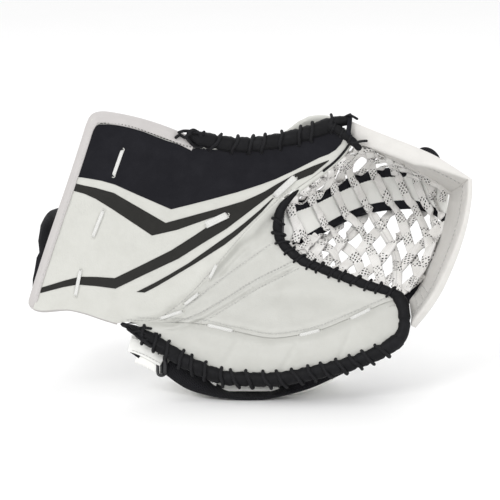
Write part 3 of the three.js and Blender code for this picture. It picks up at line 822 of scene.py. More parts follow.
def set_light():
    middle = (0, 0, 0.15)
    area_light("key", (-1.0, -1.9, 1.75), middle, 1.1, 22)
    area_light("fill", (1.5, -2.0, 0.9), middle, 1.8, 5)
    area_light("back", (0.3, 1.7, 2.2), middle, 1.8, 10)
    world = bpy.data.worlds.new("studio")
    world.use_nodes = True
    background = world.node_tree.nodes["Background"]
    background.inputs["Color"].default_value = (1, 1, 1, 1)
    background.inputs["Strength"].default_value = 1.0
    bpy.context.scene.world = world
    bpy.context.scene.view_settings.view_transform = "Standard"


set_camera()
set_stage()
set_light()

# ---- cuff and thumb face -------------------------------------------------------------------------
THUMB_ROLL = [
    (-60, 263), (-47, 261), (-26, 257), (-1, 256), (25, 259), (51, 265), (72, 272), (83, 277), (97, 279.5),
]
CUFF_RIM = [
    (-56, 256.5), (-68, 262.5), (-90, 271), (-114, 278), (-138, 282.5), (-148, 283.2), (-154.5, 281),
    (-158.3, 274), (-163, 260), (-176, 221), (-188, 186), (-201, 147), (-214, 104), (-215.5, 97),
    (-209, 93), (-181, 94), (-165, 90.5), (-146, 84), (-132, 79.5),
]
FACE_THICK = 3.0
FACE_FOLD = [(x, z + 0.3) for x, z in FOLD_LINE]  # where the cuff's leather and the palm's meet


def cuff_and_thumb():
    top = [
        (-157, 280), (-138, 279), (-114, 275), (-90, 268), (-68, 260), (-47, 255), (-26, 251), (0, 250),
        (25, 253), (51, 259), (72, 266), (86, 271.5), (97, 271),
    ]
    bottom = [
        (-215, 92), (-209, 90), (-181, 90.6), (-165, 87.2), (-146, 80.8), (-132, 77), *FACE_FOLD,
        (60, 221), (76, 233), (88, 242), (98, 254),
    ]
    sheet = backed(on_face(ruled(bottom, top, (190, 90))), FACE_THICK)
    piece("cuff_and_thumb_leather", sheet, WHITE, replaces=["cuff_and_thumb_face"], edge=0.8)


def rim_wrap():
    """The wrap round the cuff's rim: a soft strip, flat towards the palm side, rolled over the board."""
    path = plain_face(spline(CUFF_RIM, 260), 3)
    path[:, 1] += 1.8 * smooth((103 - path[:, 2]) / 6)  # along the bottom the face's leather covers it
    section = [
        (7.4, -2.6), (6.6, -3.5), (5.6, -3.7), (0.4, -3.6), (-0.3, -3.4), (-3.9, -0.9), (-4.5, 0.2),
        (-4.8, 3), (-4.8, 12), (-3.8, 16.5), (-0.5, 18.4), (4.5, 18.6), (5.2, 17.8), (4.6, 16.2),
        (5.4, -1.4),
    ]
    wide, faces, uvs = sweep(path, section, AWAY)
    narrow = sweep(path, [(x * 0.6 if x > 0 and y < 5 else x, y) for x, y in section], AWAY)[0]
    share = np.repeat(smooth((np.linspace(0, 1, 260) - 0.25) / 0.06), len(section))[:, None]
    piece("cuff_rim_leather", (wide * (1 - share) + narrow * share, faces, uvs), EDGE_WHITE,
          replaces=["cuff_rim_wrap"], sharp=28)
    line = spline(CUFF_RIM[:13], 200)
    inward = 5.0 - 2.4 * smooth((np.linspace(0, 1, 200) - 0.32) / 0.08)
    seam = plain_face(sideways(line, inward[:, None]), -0.9)
    piece("cuff_rim_stitching", stitched(seam, TOWARDS, 4.2), THREAD_WHITE)


INLAY_LIFT, INLAY_STEP = 0.45, 2.5


def inlay(name, stations, material, node=None):
    """A thin leather inlay between its lower and upper outlines, given as pairs of (x, z) points."""
    pairs = np.array(stations, float)
    rows = [pairs[:1]]
    for one, following in zip(pairs[:-1], pairs[1:]):
        count = max(1, int(np.linalg.norm(following - one, axis=1).max() / INLAY_STEP))
        t = np.linspace(0, 1, count + 1)[1:, None, None]
        rows.append(one * (1 - t) + following * t)
    low, high = np.vstack(rows).transpose(1, 0, 2)
    width = np.linalg.norm(high - low, axis=1).max()
    front = on_face(lattice(low, high, max(2, int(width / INLAY_STEP)) + 1), INLAY_LIFT)
    piece(name, backed(front, INLAY_LIFT + 0.5), material, replaces=[node] if node else [], sharp=40)


def graphics():
    inlay("graphic_panel_leather", [
        ((-175.5, 217), (-175, 218)), ((-172, 222.6), (-164, 246)), ((-166, 222), (-156, 271)),
        ((-156, 220.4), (-150, 274.6)), ((-148, 219), (-140, 274.8)), ((-135, 215.3), (-124, 273)),
        ((-112, 205), (-106.5, 268)), ((-79.4, 190.9), (-82.5, 259)), ((-58, 196.3), (-58, 252)),
        ((-41, 200.7), (-41, 251)), ((-12.6, 208.4), (-12.6, 250)), ((11, 216), (11, 251)),
        ((26, 221.5), (26, 253)), ((44.3, 229.9), (46, 257)), ((70.1, 242.8), (72, 266)),
        ((79, 246), (79, 268.5)), ((86, 250.5), (85, 270.5)), ((91, 256), (90, 270)),
        ((94, 262), (93.5, 266)),
    ], BLACK, "graphic_panel")
    inlay("stripe_upper_leather", [
        ((-177.4, 209.4), (-175.4, 216.6)), ((-165, 206), (-165, 214.2)), ((-154, 201), (-154, 212)),
        ((-138, 191), (-136, 207)), ((-98.4, 164.5), (-84.9, 177.3)), ((-73.4, 170.3), (-66, 182.5)),
        ((-39.4, 182.4), (-35.8, 190.9)), ((-23.7, 187.3), (-23.7, 194.3)),
    ], GREY, "stripe_upper")
    inlay("stripe_middle_leather", [
        ((-208, 107.2), (-208, 112.4)), ((-186, 113), (-185, 119.5)), ((-172, 115.5), (-170, 123.4)),
        ((-154, 114), (-154, 123.2)), ((-134.5, 111.3), (-135.2, 121.9)), ((-106.5, 125), (-106.5, 136)),
        ((-72.1, 141.2), (-79.4, 149.7)), ((-48, 156.6), (-56, 164.7)), ((-30, 167.6), (-37, 177.6)),
        ((-23.7, 171.5), (-23.7, 183.6)),
    ], GREY, "stripe_middle")
    inlay("stripe_wedge_leather", [
        ((-23.7, 171.5), (-23.7, 194.3)), ((-6.7, 184.4), (-6.7, 199.4)), ((6, 194.2), (6, 204.8)),
        ((15, 201), (15, 209.2)), ((27.2, 210.0), (27.2, 216.5)), ((46.9, 219.8), (46.9, 227.3)),
        ((63.2, 226.4), (63.2, 234.3)), ((79, 239.2), (79, 240.2)),
    ], GREY)
    inlay("stripe_lower_leather", [
        ((-105.5, 107.3), (-113.9, 107.9)), ((-93, 113.8), (-96.5, 116.7)), ((-79.4, 121.9), (-83, 124.2)),
        ((-55.2, 136.4), (-62.5, 136.4)), ((-26.1, 155.0), (-32, 158.0)), ((-13, 165.3), (-17, 168.5)),
        ((-0.7, 176.3), (-4, 178.8)), ((12, 188.4), (10, 190.6)), ((25, 203.4), (24.8, 204.3)),
    ], GREY, "stripe_lower")


def short_laces():
    """White lace ties that show on the face for a short way between two eyelets."""
    runs = [
        ((-127, 250), (-136.4, 224), 3.6), ((-146.7, 189.5), (-157, 163), 3.6),
        ((-169, 130), (-174, 104), 3.6), ((-45, 175), (-22.6, 185.7), 7.0),
        ((24.7, 204.4), (45.8, 223.5), 6.4), ((-34, 135), (-41, 121), 3.4), ((-52, 106), (-66, 95), 3.4),
        ((-90.5, 81), (-68, 88.4), 3.4), ((-43, 74.6), (-17, 68.6), 3.6), ((49.4, 64.6), (70, 69.6), 3.6),
        ((100.5, 81), (121, 91), 3.6),
    ]
    parts, holes = [], []
    turn = np.radians(np.arange(0, 360, 24))
    lift = 1.25 - 1.6 * np.abs(np.linspace(-1, 1, 12)) ** 6
    for a, b, width in runs:
        parts.append(sweep(on_face(np.linspace(a, b, 12), lift), strap_section(width, 1.3), TOWARDS))
        for x, z in (a, b):
            d = float(surface(x, z))
            loop = np.stack([x + 1.6 * np.cos(turn), d - 0.25 + 0 * turn, z + 1.6 * np.sin(turn)], 1)
            holes.append(ring(loop, circle(0.5, 6), np.array([x, d, z])))
    piece("face_lace_ties", merged(parts), PLAIN_LACE)
    piece("face_lace_eyelets", merged(holes), WHITE)


def face_stitching():
    seam, welt = spline(BREAK_SEAM, 120), spline(WELT, 120)
    lines = [
        sideways(spline(FOLD_LINE, 120), 2.4), spline(PALM_STITCHES, 80),
        sideways(seam, 4.2), sideways(seam, -4.6), sideways(welt, 4.6), sideways(welt, -4.6),
    ]
    parts = [stitched(on_face(line, 0.1), TOWARDS, 3.6, radius=0.35, rise=0.35) for line in lines]
    piece("face_stitching", merged(parts), THREAD_WHITE)
    top = [
        (-149, 275.6), (-138, 276), (-124, 274.2), (-106.5, 269.2), (-82.5, 260.3), (-60, 253.4),
        (-41, 251.4),
    ]
    piece("panel_stitching", stitched(on_face(spline(top, 200), 0.9), TOWARDS, 3.4, radius=0.42, rise=0.9),
          THREAD_BLACK)


cuff_and_thumb()
rim_wrap()
graphics()
short_laces()
face_stitching()

# ---- palm and finger panel -----------------------------------------------------------------------
POCKET_ROLL = [
    (150, 103.5), (136, 109.5), (119.5, 114), (103, 120), (86, 126), (70, 132), (53, 139), (41, 148),
    (32, 158), (28, 170), (29, 184), (33, 194), (40, 202), (48, 209.5), (56, 215.5),
]
FINGER_ROLL = [
    (-127, 75.5), (-117, 71.5), (-107, 65), (-83, 50), (-64, 38), (-45, 29), (-26, 22.5), (-6.5, 21),
    (28.5, 21), (65, 28), (101, 37), (131, 49), (147, 59),
]
TIP_ROLL = [(148.5, 60), (153.5, 70), (154.5, 84), (152.5, 96), (148.5, 103)]
PALM_TOP = [
    *FACE_FOLD[:-1], (37.5, 202), (33.5, 194), (28.5, 184), (27.5, 172), (30, 158), (40, 146.5), (53, 138),
    (70, 131), (86, 125), (103, 119), (119.5, 113), (136, 108.5), (152, 103),
]
# Shares of the way along the palm's upper edge, and along the break seam, that the mesh joins by straight
# rows. They fan out to the fold line and swing round the pocket's corner, so that the sheet doesn't fold
# over itself there.
PALM_ROWS = ((0, 0.1, 0.55, 0.6, 0.65, 1), (0, 0.2, 0.25, 0.35, 0.6, 1))


def palm():
    low = at_shares(spline(BREAK_SEAM, 400), np.interp(np.linspace(0, 1, 320), *PALM_ROWS))
    sheet = backed(on_face(lattice(low, spline(PALM_TOP, 320), 80)), FACE_THICK)
    piece("palm_leather", sheet, SHADED_PALM_WHITE, replaces=["palm_face"], edge=0.8)
    grid = ruled(sideways(BREAK_SEAM, 2), sideways(PALM_TOP, -2), (60, 24))
    piece("palm_lining_felt", backed(plain_face(grid, 8.6), 1.6), FELT, replaces=["palm_lining"], edge=0.5)


def finger_pad():
    """The padded panel below the break seam: crowned, drawn in at its seams."""
    low = sideways(np.array(FINGER_ROLL), 5.0)
    low[-1] = (153, 66)
    grid = ruled(low, BREAK_SEAM, (170, 34))
    rows, columns = grid.shape[:2]
    v = np.linspace(0, 1, columns)[None, :]
    u = np.linspace(0, 1, rows)[:, None]
    swell = 5.0 * (np.sin(np.pi * v) ** 0.6) * smooth(np.minimum(u, 1 - u) * 9) - 1.0
    channels = np.zeros((rows, columns))
    for station, slant, depth in ((0.36, 0.03, 1.0), (0.56, 0.05, 1.1), (0.76, 0.06, 1.0)):
        channels += depth * np.exp(-(((u - station - slant * v) / 0.012) ** 2)) * np.sin(np.pi * v) ** 0.5
    puckers = 0.5 * np.sin(u * 190) * np.exp(-v / 0.07)
    body = between(on_face(grid, swell - channels - puckers), plain_face(grid, 12))
    piece("finger_panel_leather", body, SHADED_PALM_WHITE, replaces=["finger_panel"], edge=1.0)


def rolls():
    laced_roll("thumb_roll_leather", plain_face(spline(THUMB_ROLL, 120), 2), 7.0, 8, 1, 1,
               ["thumb_edge_roll", "thumb_edge_lacing"],
               lambda s: 1.08 - 0.4 * smooth((s - 0.85) / 0.15) - 0.35 * smooth((0.07 - s) / 0.07),
               (0.06, 1.0))
    laced_roll("finger_roll_leather", plain_face(spline(FINGER_ROLL, 220), 2), 7.4, 18, -1, -1,
               ["finger_edge_roll", "finger_edge_lacing"],
               lambda s: 0.3 + 0.7 * smooth(s / 0.1), (0.02, 1.0), 1.75)
    laced_roll("pocket_roll_leather", plain_face(spline(POCKET_ROLL, 200), 1), 4.9, 13, -1, 0.6,
               ["pocket_edge_roll", "pocket_edge_lacing"],
               lambda s: 1 - 0.75 * smooth((s - 0.78) / 0.22), (0.0, 0.83), 1.35, 1.0)


THUMB_TANGLE = [  # two loose turns of the cord round the roll's end, then its tails
    [(-52, 268), (-57, 270), (-62, 266), (-60, 259), (-54, 256), (-49, 260), (-51, 267), (-57, 268)],
    [
        (-46, 268), (-50, 262), (-47, 255), (-53, 253), (-59, 257), (-63, 263), (-59, 268), (-66, 269),
        (-71, 267.5),
    ],
    [(-56, 262), (-61, 265), (-65, 262.5), (-70, 265), (-74, 262.5)],
]
HEEL_TANGLE = [  # and where the finger roll's lacing starts
    [(-128, 76), (-120, 74.5), (-114, 70), (-107, 72.5), (-99, 71.5)],
    [(-122, 71), (-114, 65), (-107, 60), (-100, 61.5), (-95, 66.5)],
    [(-112, 72), (-109, 64), (-103, 57.5), (-97, 54), (-92.5, 58), (-90, 65)],
    [(-117, 68), (-110, 69), (-103, 65), (-97, 59), (-90, 54), (-84, 53)],
]


def tangle(name, lines, radius, height, swing):
    """Loose turns of cord in front of the palm side."""
    parts = []
    s = np.linspace(0, 1, 60)
    for number, line in enumerate(lines):
        points = plain_face(spline(line, 60), 1)
        points[:, 1] -= height + swing * np.sin(s * 9 + number * 2) * np.sin(np.pi * s)
        parts.append(sweep(points, circle(radius, 8), AWAY, ends="round"))
    piece(name, merged(parts), CORD)


def tip_roll():
    path = plain_face(spline(TIP_ROLL, 60), 2)
    s = np.linspace(0, 1, 60)
    swell = 1 + 0.05 * np.sin(s * 17) - 0.2 * np.exp(-(((s - 0.45) / 0.05) ** 2))
    body = sweep(path, circle(6.4, 20), AWAY, swell, ends="round")
    piece("finger_tip_roll_leather", body, ROLL_BLACK, replaces=["finger_tip_roll"])


palm()
finger_pad()
rolls()
tangle("thumb_knot_cord", THUMB_TANGLE, 1.6, 4.5, 3.2)
tangle("heel_knot_cord", HEEL_TANGLE, 1.35, 4.6, 2.2)
tip_roll()

# ---- the band of the pocket ----------------------------------------------------------------------
TOP_FRONT = [
    (101, -3, 279), (134, -9, 265), (157, -13, 256), (170, -15, 250.5), (185, -17, 243.5), (200, -19, 234),
    (219.5, -22, 221),
]
TOP_BACK = [(101, 52, 269), (134, 56, 256), (157, 58, 245), (172, 60, 237), (196, 62, 223), (209, 62, 212)]
SIDE_FRONT = [
    (220.5, -22, 220.5), (220.3, -21, 204), (216, -19, 176), (209, -16, 151), (200.5, -11, 128),
    (190.5, -5, 106), (179, 0, 88), (166, 6, 71.5),
]
SIDE_BACK = [
    (209, 62, 211), (206, 70, 190), (202, 74, 172), (195, 70, 155), (187, 62, 138), (180, 52, 122),
    (172, 42, 108), (162, 34, 97),
]


def top_thick(i, j):
    front = 17.8 * (1 - 0.84 * np.clip((i - 0.57) / 0.43, 0, 1)) * (0.6 + 0.4 * smooth(i / 0.1))
    back = 8.5 * (1 - 0.35 * i)
    share = smooth(1.9 * (1 - j))
    return (front + (back - front) * share) * (0.8 + 0.2 * crown(i, j, 0.05, 0.12))


def side_thick(i, j):
    front = 5.0 + 3.0 * smooth(i * 1.4)
    share = smooth(2.2 * (1 - j))
    return (front + (4.5 - front) * share) * (0.8 + 0.2 * crown(i, j, 0.05, 0.12))


def band():
    top = thickened(TOP_BACK, TOP_FRONT, (90, 34), top_thick)
    piece("band_thumb_leather", between(*top), BAND_WHITE, replaces=["band_thumb_side"], edge=2.6)
    side = thickened(SIDE_BACK, SIDE_FRONT, (110, 34), side_thick)
    piece("band_finger_leather", between(*side), BAND_WHITE, replaces=["band_finger_side"], edge=2.0)
    middle = (top[0][:, 0] + top[1][:, 0]) / 2
    binding = sweep(resampled(middle, 90), strap_section(10.0, 5.0), top[0][0, -1] - top[0][0, 0])
    piece("band_top_binding", binding, BAND_WHITE)
    # The side's back edge is bound in black, broad where it meets the finger tips and thin up the net.
    middle = resampled((side[0][:, 0] + side[1][:, 0]) / 2 + [-5.2, -2.0, 0], 120, (0.36, 1.0))
    broad = 0.36 + 0.64 * smooth((np.linspace(0, 1, 120) - 0.2) / 0.5)
    binding = sweep(middle, strap_section(11.0, 5.5), side[0][0, -1] - side[0][0, 0], broad, "round")
    piece("band_side_binding", binding, BLACK)
    runs = []
    for grid, row in ((top, 24), (side, 25)):
        for face, out in ((grid[0], -1), (grid[1], 1)):
            facing = unit(grid[1] - grid[0])[2:-2, row] * out
            runs.append(stitched(face[2:-2, row], facing, 4.4, radius=0.45, rise=0.5))
    # Tucks across the lower part of the side, where it turns in to the finger tips.
    for share in (0.80, 0.86, 0.92):
        inner, outer = (grid[int(share * 110), 3:-8] for grid in side)
        runs.append(stitched(outer, unit(outer - inner), 4.4, radius=0.45, rise=0.3))
    piece("band_stitching", merged(runs), THREAD_WHITE)
    fold = np.linspace([218.6, -16, 216.6], [209.0, 58, 209.5], 40)
    piece("band_corner_piping", sweep(fold, circle(1.4, 10), UP, ends="round"), BAND_WHITE)
    tab = spline([
        (170, 60, 239.5), (172.5, 61, 247), (178, 61.5, 251), (184, 61.5, 250), (190, 61, 244),
        (192, 60, 230),
    ], 50)
    piece("band_tab_webbing", sweep(tab, strap_section(9, 3.4), TOWARDS, ends="round"), WEBBING,
          replaces=["band_pull_tab"])


# ---- the spine and the laced net of the pocket ---------------------------------------------------
SPINE_LOW = [
    (28, 44, 145), (44, 50, 152), (60, 62, 162), (86, 84, 177), (109, 97, 187), (131, 103, 193),
    (152, 104, 195.5), (170, 100, 196), (184, 93, 193), (196, 84, 187), (203, 77, 180),
]
SPINE_HIGH = [
    (28, 42, 188), (44, 50, 195), (60, 62, 201), (76, 74, 209), (98, 90, 219.5), (121, 100, 228),
    (141, 103, 232), (161, 100, 232.5), (178, 92, 229), (194, 79, 222), (205, 67, 214),
]
NET_LOW = [
    (34, 35, 154), (44, 33, 146), (53, 32, 139), (70, 30, 132), (86, 28, 126), (103, 27, 120),
    (119.5, 25, 114), (136, 24, 109), (158, 28, 104),
]
NET_HIGH = [
    (44, 33, 207), (63, 31, 220.5), (79, 30, 233), (93, 33, 246), (108, 42, 256), (130, 51, 249),
    (150, 54, 241), (172, 57, 230), (190, 59, 220), (202, 60, 212),
]
NET_EDGES = np.stack([spline(line, 401) for line in (NET_LOW, SPINE_LOW, SPINE_HIGH, NET_HIGH)])
LACE_WIDTH, LACE_THICK = 9.0, 1.5
SPINE_THICK = 4.0


def net_points(s, t):
    """Points of the net: s is 0 at the finger edge, 1 and 2 at the spine's edges and 3 at the thumb edge."""
    s, t = np.clip(s, 0, 3), np.clip(t, 0, 1)
    row = np.minimum(s.astype(int), 2)
    column = np.minimum((t * 400).astype(int), 399)
    def edge(r):
        part = (t * 400 - column)[:, None]
        return NET_EDGES[r, column] * (1 - part) + NET_EDGES[r, column + 1] * part
    w = (s - row)[:, None]
    points = edge(row) * (1 - w) + edge(row + 1) * w
    points[:, 0] += 7.5 * t**5 * np.sin(np.pi * np.clip(s, 0, 1)) * (s < 1)
    return points


def smoothed(line, passes):
    line = np.array(line)
    for _ in range(passes):
        line[1:-1] = (line[:-2] + 2 * line[1:-1] + line[2:]) / 4
    return line


def on_net(s, t, height):
    """A lace's line over the net and the way it faces, towards the palm side."""
    points = net_points(s, t)
    along_t = net_points(s, np.minimum(t + 0.02, 1)) - net_points(s, t - 0.02)
    along_s = net_points(s + 0.08, t) - net_points(s - 0.08, t)
    normal = unit(np.cross(along_t, along_s))
    normal = smoothed(normal, 30)
    return smoothed(points + normal * height[:, None], 7), normal


def lace(s, t, height, twist, size=None, plain_at=None):
    """One flat lace; plain_at is the share of the way where none of its tracer threads show."""
    inside = (t > 0.004) & (t < 0.992)
    points, normal = on_net(s[inside], t[inside], height[inside])
    length = length_of(points)
    if length < 12:
        return None
    width = np.ones(len(points)) if size is None else size[inside]
    section = strap_section(LACE_WIDTH, LACE_THICK, 3)
    body, faces, uvs = sweep(points, section, normal, width, twist=twist[inside])
    if plain_at is None:
        uvs[:, 0] += rng.uniform(0, FLECK_PITCH)
    else:
        uvs[:, 0] += 0.75 * FLECK_PITCH - plain_at * length * MM
    return body, faces, uvs


SPINE_LACES = [46, 68, 90.5, 113, 138, 161, 180, 195]  # x where the long laces cross the spine's middle
MIDDLE_X = (NET_EDGES[1, :, 0] + NET_EDGES[2, :, 0]) / 2
LONG_AT = np.interp(SPINE_LACES, MIDDLE_X, np.linspace(0, 1, 401))
A_FAN, A_TOP = 0.37, 0.055  # how far the long laces fan out below the spine
A_STARTS = np.concatenate([[-0.27, -0.12], LONG_AT + A_TOP])
B_STARTS = 0.03 + 0.15 * np.arange(7)
B_FAN = 0.23
WEAVE = 1.9  # how far the laces pass over and under each other
CORNER_LACES = (  # more laces crowd the corner between the spine and the finger edge: t at both ends, height
    (0.0, 0.30, 2.4), (0.06, 0.34, -2.2), (0.13, 0.26, 3.0),
    (0.20, 0.10, -3.0), (0.30, 0.03, 2.6), (0.33, 0.22, -2.4),
)


def long_lace(k, start, tau, index_b):
    """A lace from the finger edge over the spine to the thumb edge; the first two end at the spine."""
    upper = 2.97 if k >= 2 else 1.0
    s = 0.02 + (upper - 0.02) * tau
    t = np.where(s < 1, start + A_FAN * (1 - s), start - 0.11 * (s - 1))
    t = np.where(s > 2, start - 0.11 - 0.05 * (s - 2) + 0.03 * np.sin(k * 2.1) * (s - 2), t)
    t = t + 0.010 * np.sin(8 * s + 2.1 * k) * (s < 1) * smooth((1 - s) * 5)
    over = 6.4 * smooth((s - 0.72) / 0.25) * smooth((2.32 - s) / 0.28)
    lower_weave = WEAVE * np.cos(np.pi * (index_b(s, t) + k)) * (s < 1) * smooth((1 - s) * 6)
    upper_weave = WEAVE * np.cos(np.pi * (2.2 * (s - 2) + k)) * (s > 2) * smooth((s - 2.15) * 5)
    tilt = 0.5 * np.sin(7.0 * s + 1.7 * k) * (0.5 + 0.5 * (s < 1))
    if k == 9:
        tilt = tilt + 1.25 * smooth((s - 1.0) * 4)
    if k in (5, 8):
        tilt = tilt + math.pi * smooth((0.97 - s) * 9)
    size = 1 + 0.16 * smooth((0.9 - s) * 6) + 0.05 * np.sin(11 * s + k)
    height = over + smooth((s - 0.1) * 12) * lower_weave + upper_weave
    return lace(s, t, height, tilt, size, 1.5 / 2.97 if k >= 2 else None)


def cross_lace(k, start, tau, index_a):
    """A lace from the finger edge across the long ones, ending behind the spine."""
    s = 0.02 + 1.14 * tau
    slanted = np.minimum(s, 0.96)  # past the spine's edge the lace turns straight up
    t = start + B_FAN * slanted + 0.012 * np.sin(7 * slanted + 1.3 * k)
    fade = smooth((s - 0.05) * 10) * smooth((0.98 - s) * 8)
    height = -WEAVE * np.cos(np.pi * (index_a(s, t) + k)) * fade - 5.0 * smooth((s - 0.85) * 9)
    tilt = 0.45 * np.sin(6.0 * s + 2.3 * k + 1) * smooth((1.0 - s) * 6)
    if k in (2, 4):
        tilt = tilt + math.pi * smooth((s - 0.5) * 5)
    return lace(s, t, height, tilt, 1.14 + 0.08 * np.sin(13 * s + 2 * k))


def net():
    tau = np.linspace(0, 1, 150)

    def index_a(s, t):
        return np.interp(t - A_FAN * (1 - s), A_STARTS, np.arange(len(A_STARTS)))

    def index_b(s, t):
        return (t - B_FAN * s - B_STARTS[0]) / 0.15

    laces = [long_lace(k, start, tau, index_b) for k, start in enumerate(A_STARTS)]
    laces += [cross_lace(k, start, tau, index_a) for k, start in enumerate(B_STARTS)]
    for k, (t0, t1, rise) in enumerate(CORNER_LACES):
        s = 0.03 + 0.87 * tau
        height = rise + 1.2 * np.sin(12 * s + k)
        tilt, size = 0.6 * np.sin(8 * s + 2 * k), 0.95 + 0.1 * np.sin(9 * s + k)
        laces.append(lace(s, t0 + (t1 - t0) * s, height, tilt, size))
    for k in range(8):
        s = 1.84 + 1.14 * tau
        t = 0.02 + 0.115 * k + 0.13 * np.maximum(s - 2.04, 0)
        weave = 1.8 * np.sin(np.pi * (2.2 * (s - 2) + k)) * smooth((s - 2.1) * 6)
        height = weave - 5.0 * smooth((2.15 - s) * 8)
        laces.append(lace(s, t, height, 0.5 * np.sin(5 * s + k) * smooth((s - 1.98) * 5)))
    # Laces that run along the rims: under the thumb's edge and up the band.
    for rise, span, phase in ((2.93, (0.0, 0.62), 0.0), (2.72, (0.0, 0.9), 1.6), (2.12, (0.0, 0.42), 0.7)):
        t = span[0] + (span[1] - span[0]) * tau
        s = rise + 0.05 * np.sin(t * 40 + phase)
        height = 2.0 * np.sin(t * 55 + phase) + 1.2
        laces.append(lace(s, t, height, 0.4 * np.sin(t * 30 + phase)))
    s = 0.04 + 0.9 * tau
    t, height = 0.972 + 0.01 * np.sin(9 * s), 2.2 + 1.2 * np.sin(14 * s)
    laces.append(lace(s, t, height, 0.5 + 0.4 * np.sin(11 * s)))
    replaced = [f"pocket_lace_{k}" for k in range(1, 7)]
    replaced += [f"cross_lace_{side}_{k}" for side in ("low", "high") for k in range(1, 4)]
    body = merged([one for one in laces if one is not None])
    piece("pocket_net_laces", body, LACE, replaces=replaced, sharp=50)


def free_lace(line, count=60, width=1.0, tilt=0.4, facing=TOWARDS):
    """A lace through given design points, twisting a little as it goes."""
    points = spline(line, count)
    turn = tilt * np.sin(np.linspace(0, 5, count) + rng.uniform(0, 6))
    body, faces, uvs = sweep(points, strap_section(LACE_WIDTH, LACE_THICK, 3), facing, width, twist=turn)
    uvs[:, 0] += rng.uniform(0, FLECK_PITCH)
    return body, faces, uvs


THUMB_POCKET_EDGE = [(40, 203), (50, 211), (60, 218.5), (78, 231.5), (92, 245), (99, 254)]


def rim_laces():
    """Laces round the thumb's edge, behind the finger edge's roll and in the net's upper corner."""
    parts = []
    edge = spline(THUMB_POCKET_EDGE, 101)
    ahead = unit(np.gradient(edge, axis=0))
    outward = np.stack([ahead[:, 1], -ahead[:, 0]], 1)
    for k, share in enumerate(np.linspace(6, 84, 9).astype(int)):
        lean = ahead[share] * (5.0 if k % 2 else -4.0)
        here, out = edge[share], outward[share]
        depth = float(face_depth(*here))
        stations = [(p[0], depth + d, p[1]) for p, d in (
            (here - out * 1.5, 4.5), (here + out * 2.5 + lean * 0.3, 3.6), (here + out * 6.5 + lean, 9.5),
            (here + out * 8.5 + lean * 1.7, 22),
        )]
        parts.append(free_lace(stations, 44, 0.95, 0.35, (out[0], -1.0, out[1])))
    low = NET_EDGES[0]
    for share in np.linspace(30, 372, 12).astype(int):
        x, d, z = low[share]
        roll = float(face_depth(x, z)) + 1
        line = [
            (x - 3, d + 3, z + 9), (x - 1, d + 1.5, z + 4), (x, roll + 4.5, z + 0.5),
            (x, roll + 2.5, z - 1.5),
        ]
        parts.append(free_lace(line, 24, 0.85, 0.3, (0, -0.4, 0.9)))
    for corner in (
        [(163, 78, 229), (173, 70, 226), (184, 64, 221), (195, 60, 215.5), (199, 62, 209), (197, 68, 200)],
        [(150, 86, 236), (163, 76, 233), (176, 68, 226), (186, 70, 214), (189, 80, 204), (191, 85, 196)],
    ):
        parts.append(free_lace(corner, 80, 0.9, 0.5))
    left = [(38, 30, 206), (41, 34, 196), (44, 40, 184), (48, 46, 170), (46, 42, 158)]
    parts.append(free_lace(left, 50, 1.0, 0.3))
    piece("net_rim_laces", merged(parts), LACE, sharp=50)


def spine():
    def thick(i, j):
        return SPINE_THICK * (0.55 + 0.45 * crown(i, j, 0.02, 0.2))
    low, high = thickened(SPINE_LOW, SPINE_HIGH, (110, 16), thick)
    piece("pocket_spine_leather", between(low, high), PAINTED_LIGHT_WHITE, replaces=["pocket_spine"], edge=0.6)
    for side, edge, other, last in (("lower", 0, -1, 111), ("upper", -1, 0, 82)):
        rim = ((low[:, edge] + high[:, edge]) / 2)[8:last]
        outward = unit(low[:, edge] - low[:, other])[8:last]
        normal = unit(high[:, edge] - low[:, edge])[8:last]
        body = sweep(rim - outward * 2.5, strap_section(12, 6.2), normal, ends="round")
        piece(f"spine_binding_{side}_leather", body, BLACK, replaces=[f"spine_binding_{side}"])
        seam = stitched(rim - outward * 6.0 + normal * 3.4, normal, 3.8, radius=0.35, rise=0.4)
        piece(f"spine_binding_{side}_stitching", seam, THREAD_BLACK)


def thumb_edge_binding():
    path = plain_face(spline(THUMB_POCKET_EDGE, 70), 2)
    piece("thumb_pocket_edge_leather", sweep(path, circle(2.6, 14), AWAY, ends="round"), WHITE,
          replaces=["thumb_pocket_binding"])
    upper = plain_face(spline([(74, 229.5), (86, 239.5), (95, 249.5), (100, 257)], 40), -0.6)
    piece("thumb_pocket_edge_cord", sweep(upper, circle(1.25, 8), AWAY, ends="round"), CORD)
    # The short roll that ties the thumb's tip to the band, and the strap between them.
    short = spline([
        (79, -3, 274), (85, -6, 271.5), (91, -9, 267.5), (97, -11.5, 262.5), (103, -12, 257),
        (108, -10, 252),
    ], 60)
    s = np.linspace(0, 1, 60)
    size = (1.0 - 0.3 * s**3) * (1 + 0.08 * np.sin(s * 26))
    turns = [ring(np.array([
        short[at] + 4.9 * size[at] * np.array([0.45 * math.cos(a), math.sin(a), 0.9 * math.cos(a)])
        for a in np.radians(np.arange(0, 360, 15))
    ]), circle(1.0, 6), short[at]) for at in (8, 24, 40)]
    piece("thumb_tip_roll_leather", sweep(short, circle(4.6, 16), AWAY, size, ends="round"), ROLL_BLACK)
    piece("thumb_tip_lacing_cord", merged(turns), CORD)
    strap = spline([
        (99, 4, 285.5), (99.6, -4, 284), (99.4, -9, 279), (98.6, -12, 273), (98, -14.5, 267),
        (98.5, -14, 262.5),
    ], 40)
    piece("thumb_tip_strap_leather", sweep(strap, strap_section(4.8, 2.0), TOWARDS), BLACK)
    tails = [
        [(95, -3, 283), (99, -7, 284.5), (103, -6, 283), (107, -3, 281)],
        [(97, -13, 258), (104, -16, 256.5), (110, -15, 258), (116, -13, 258.5)],
    ]
    cords = [sweep(spline(line, 30), circle(1.3, 8), AWAY, ends="round") for line in tails]
    piece("thumb_tip_knot_cord", merged(cords), CORD)


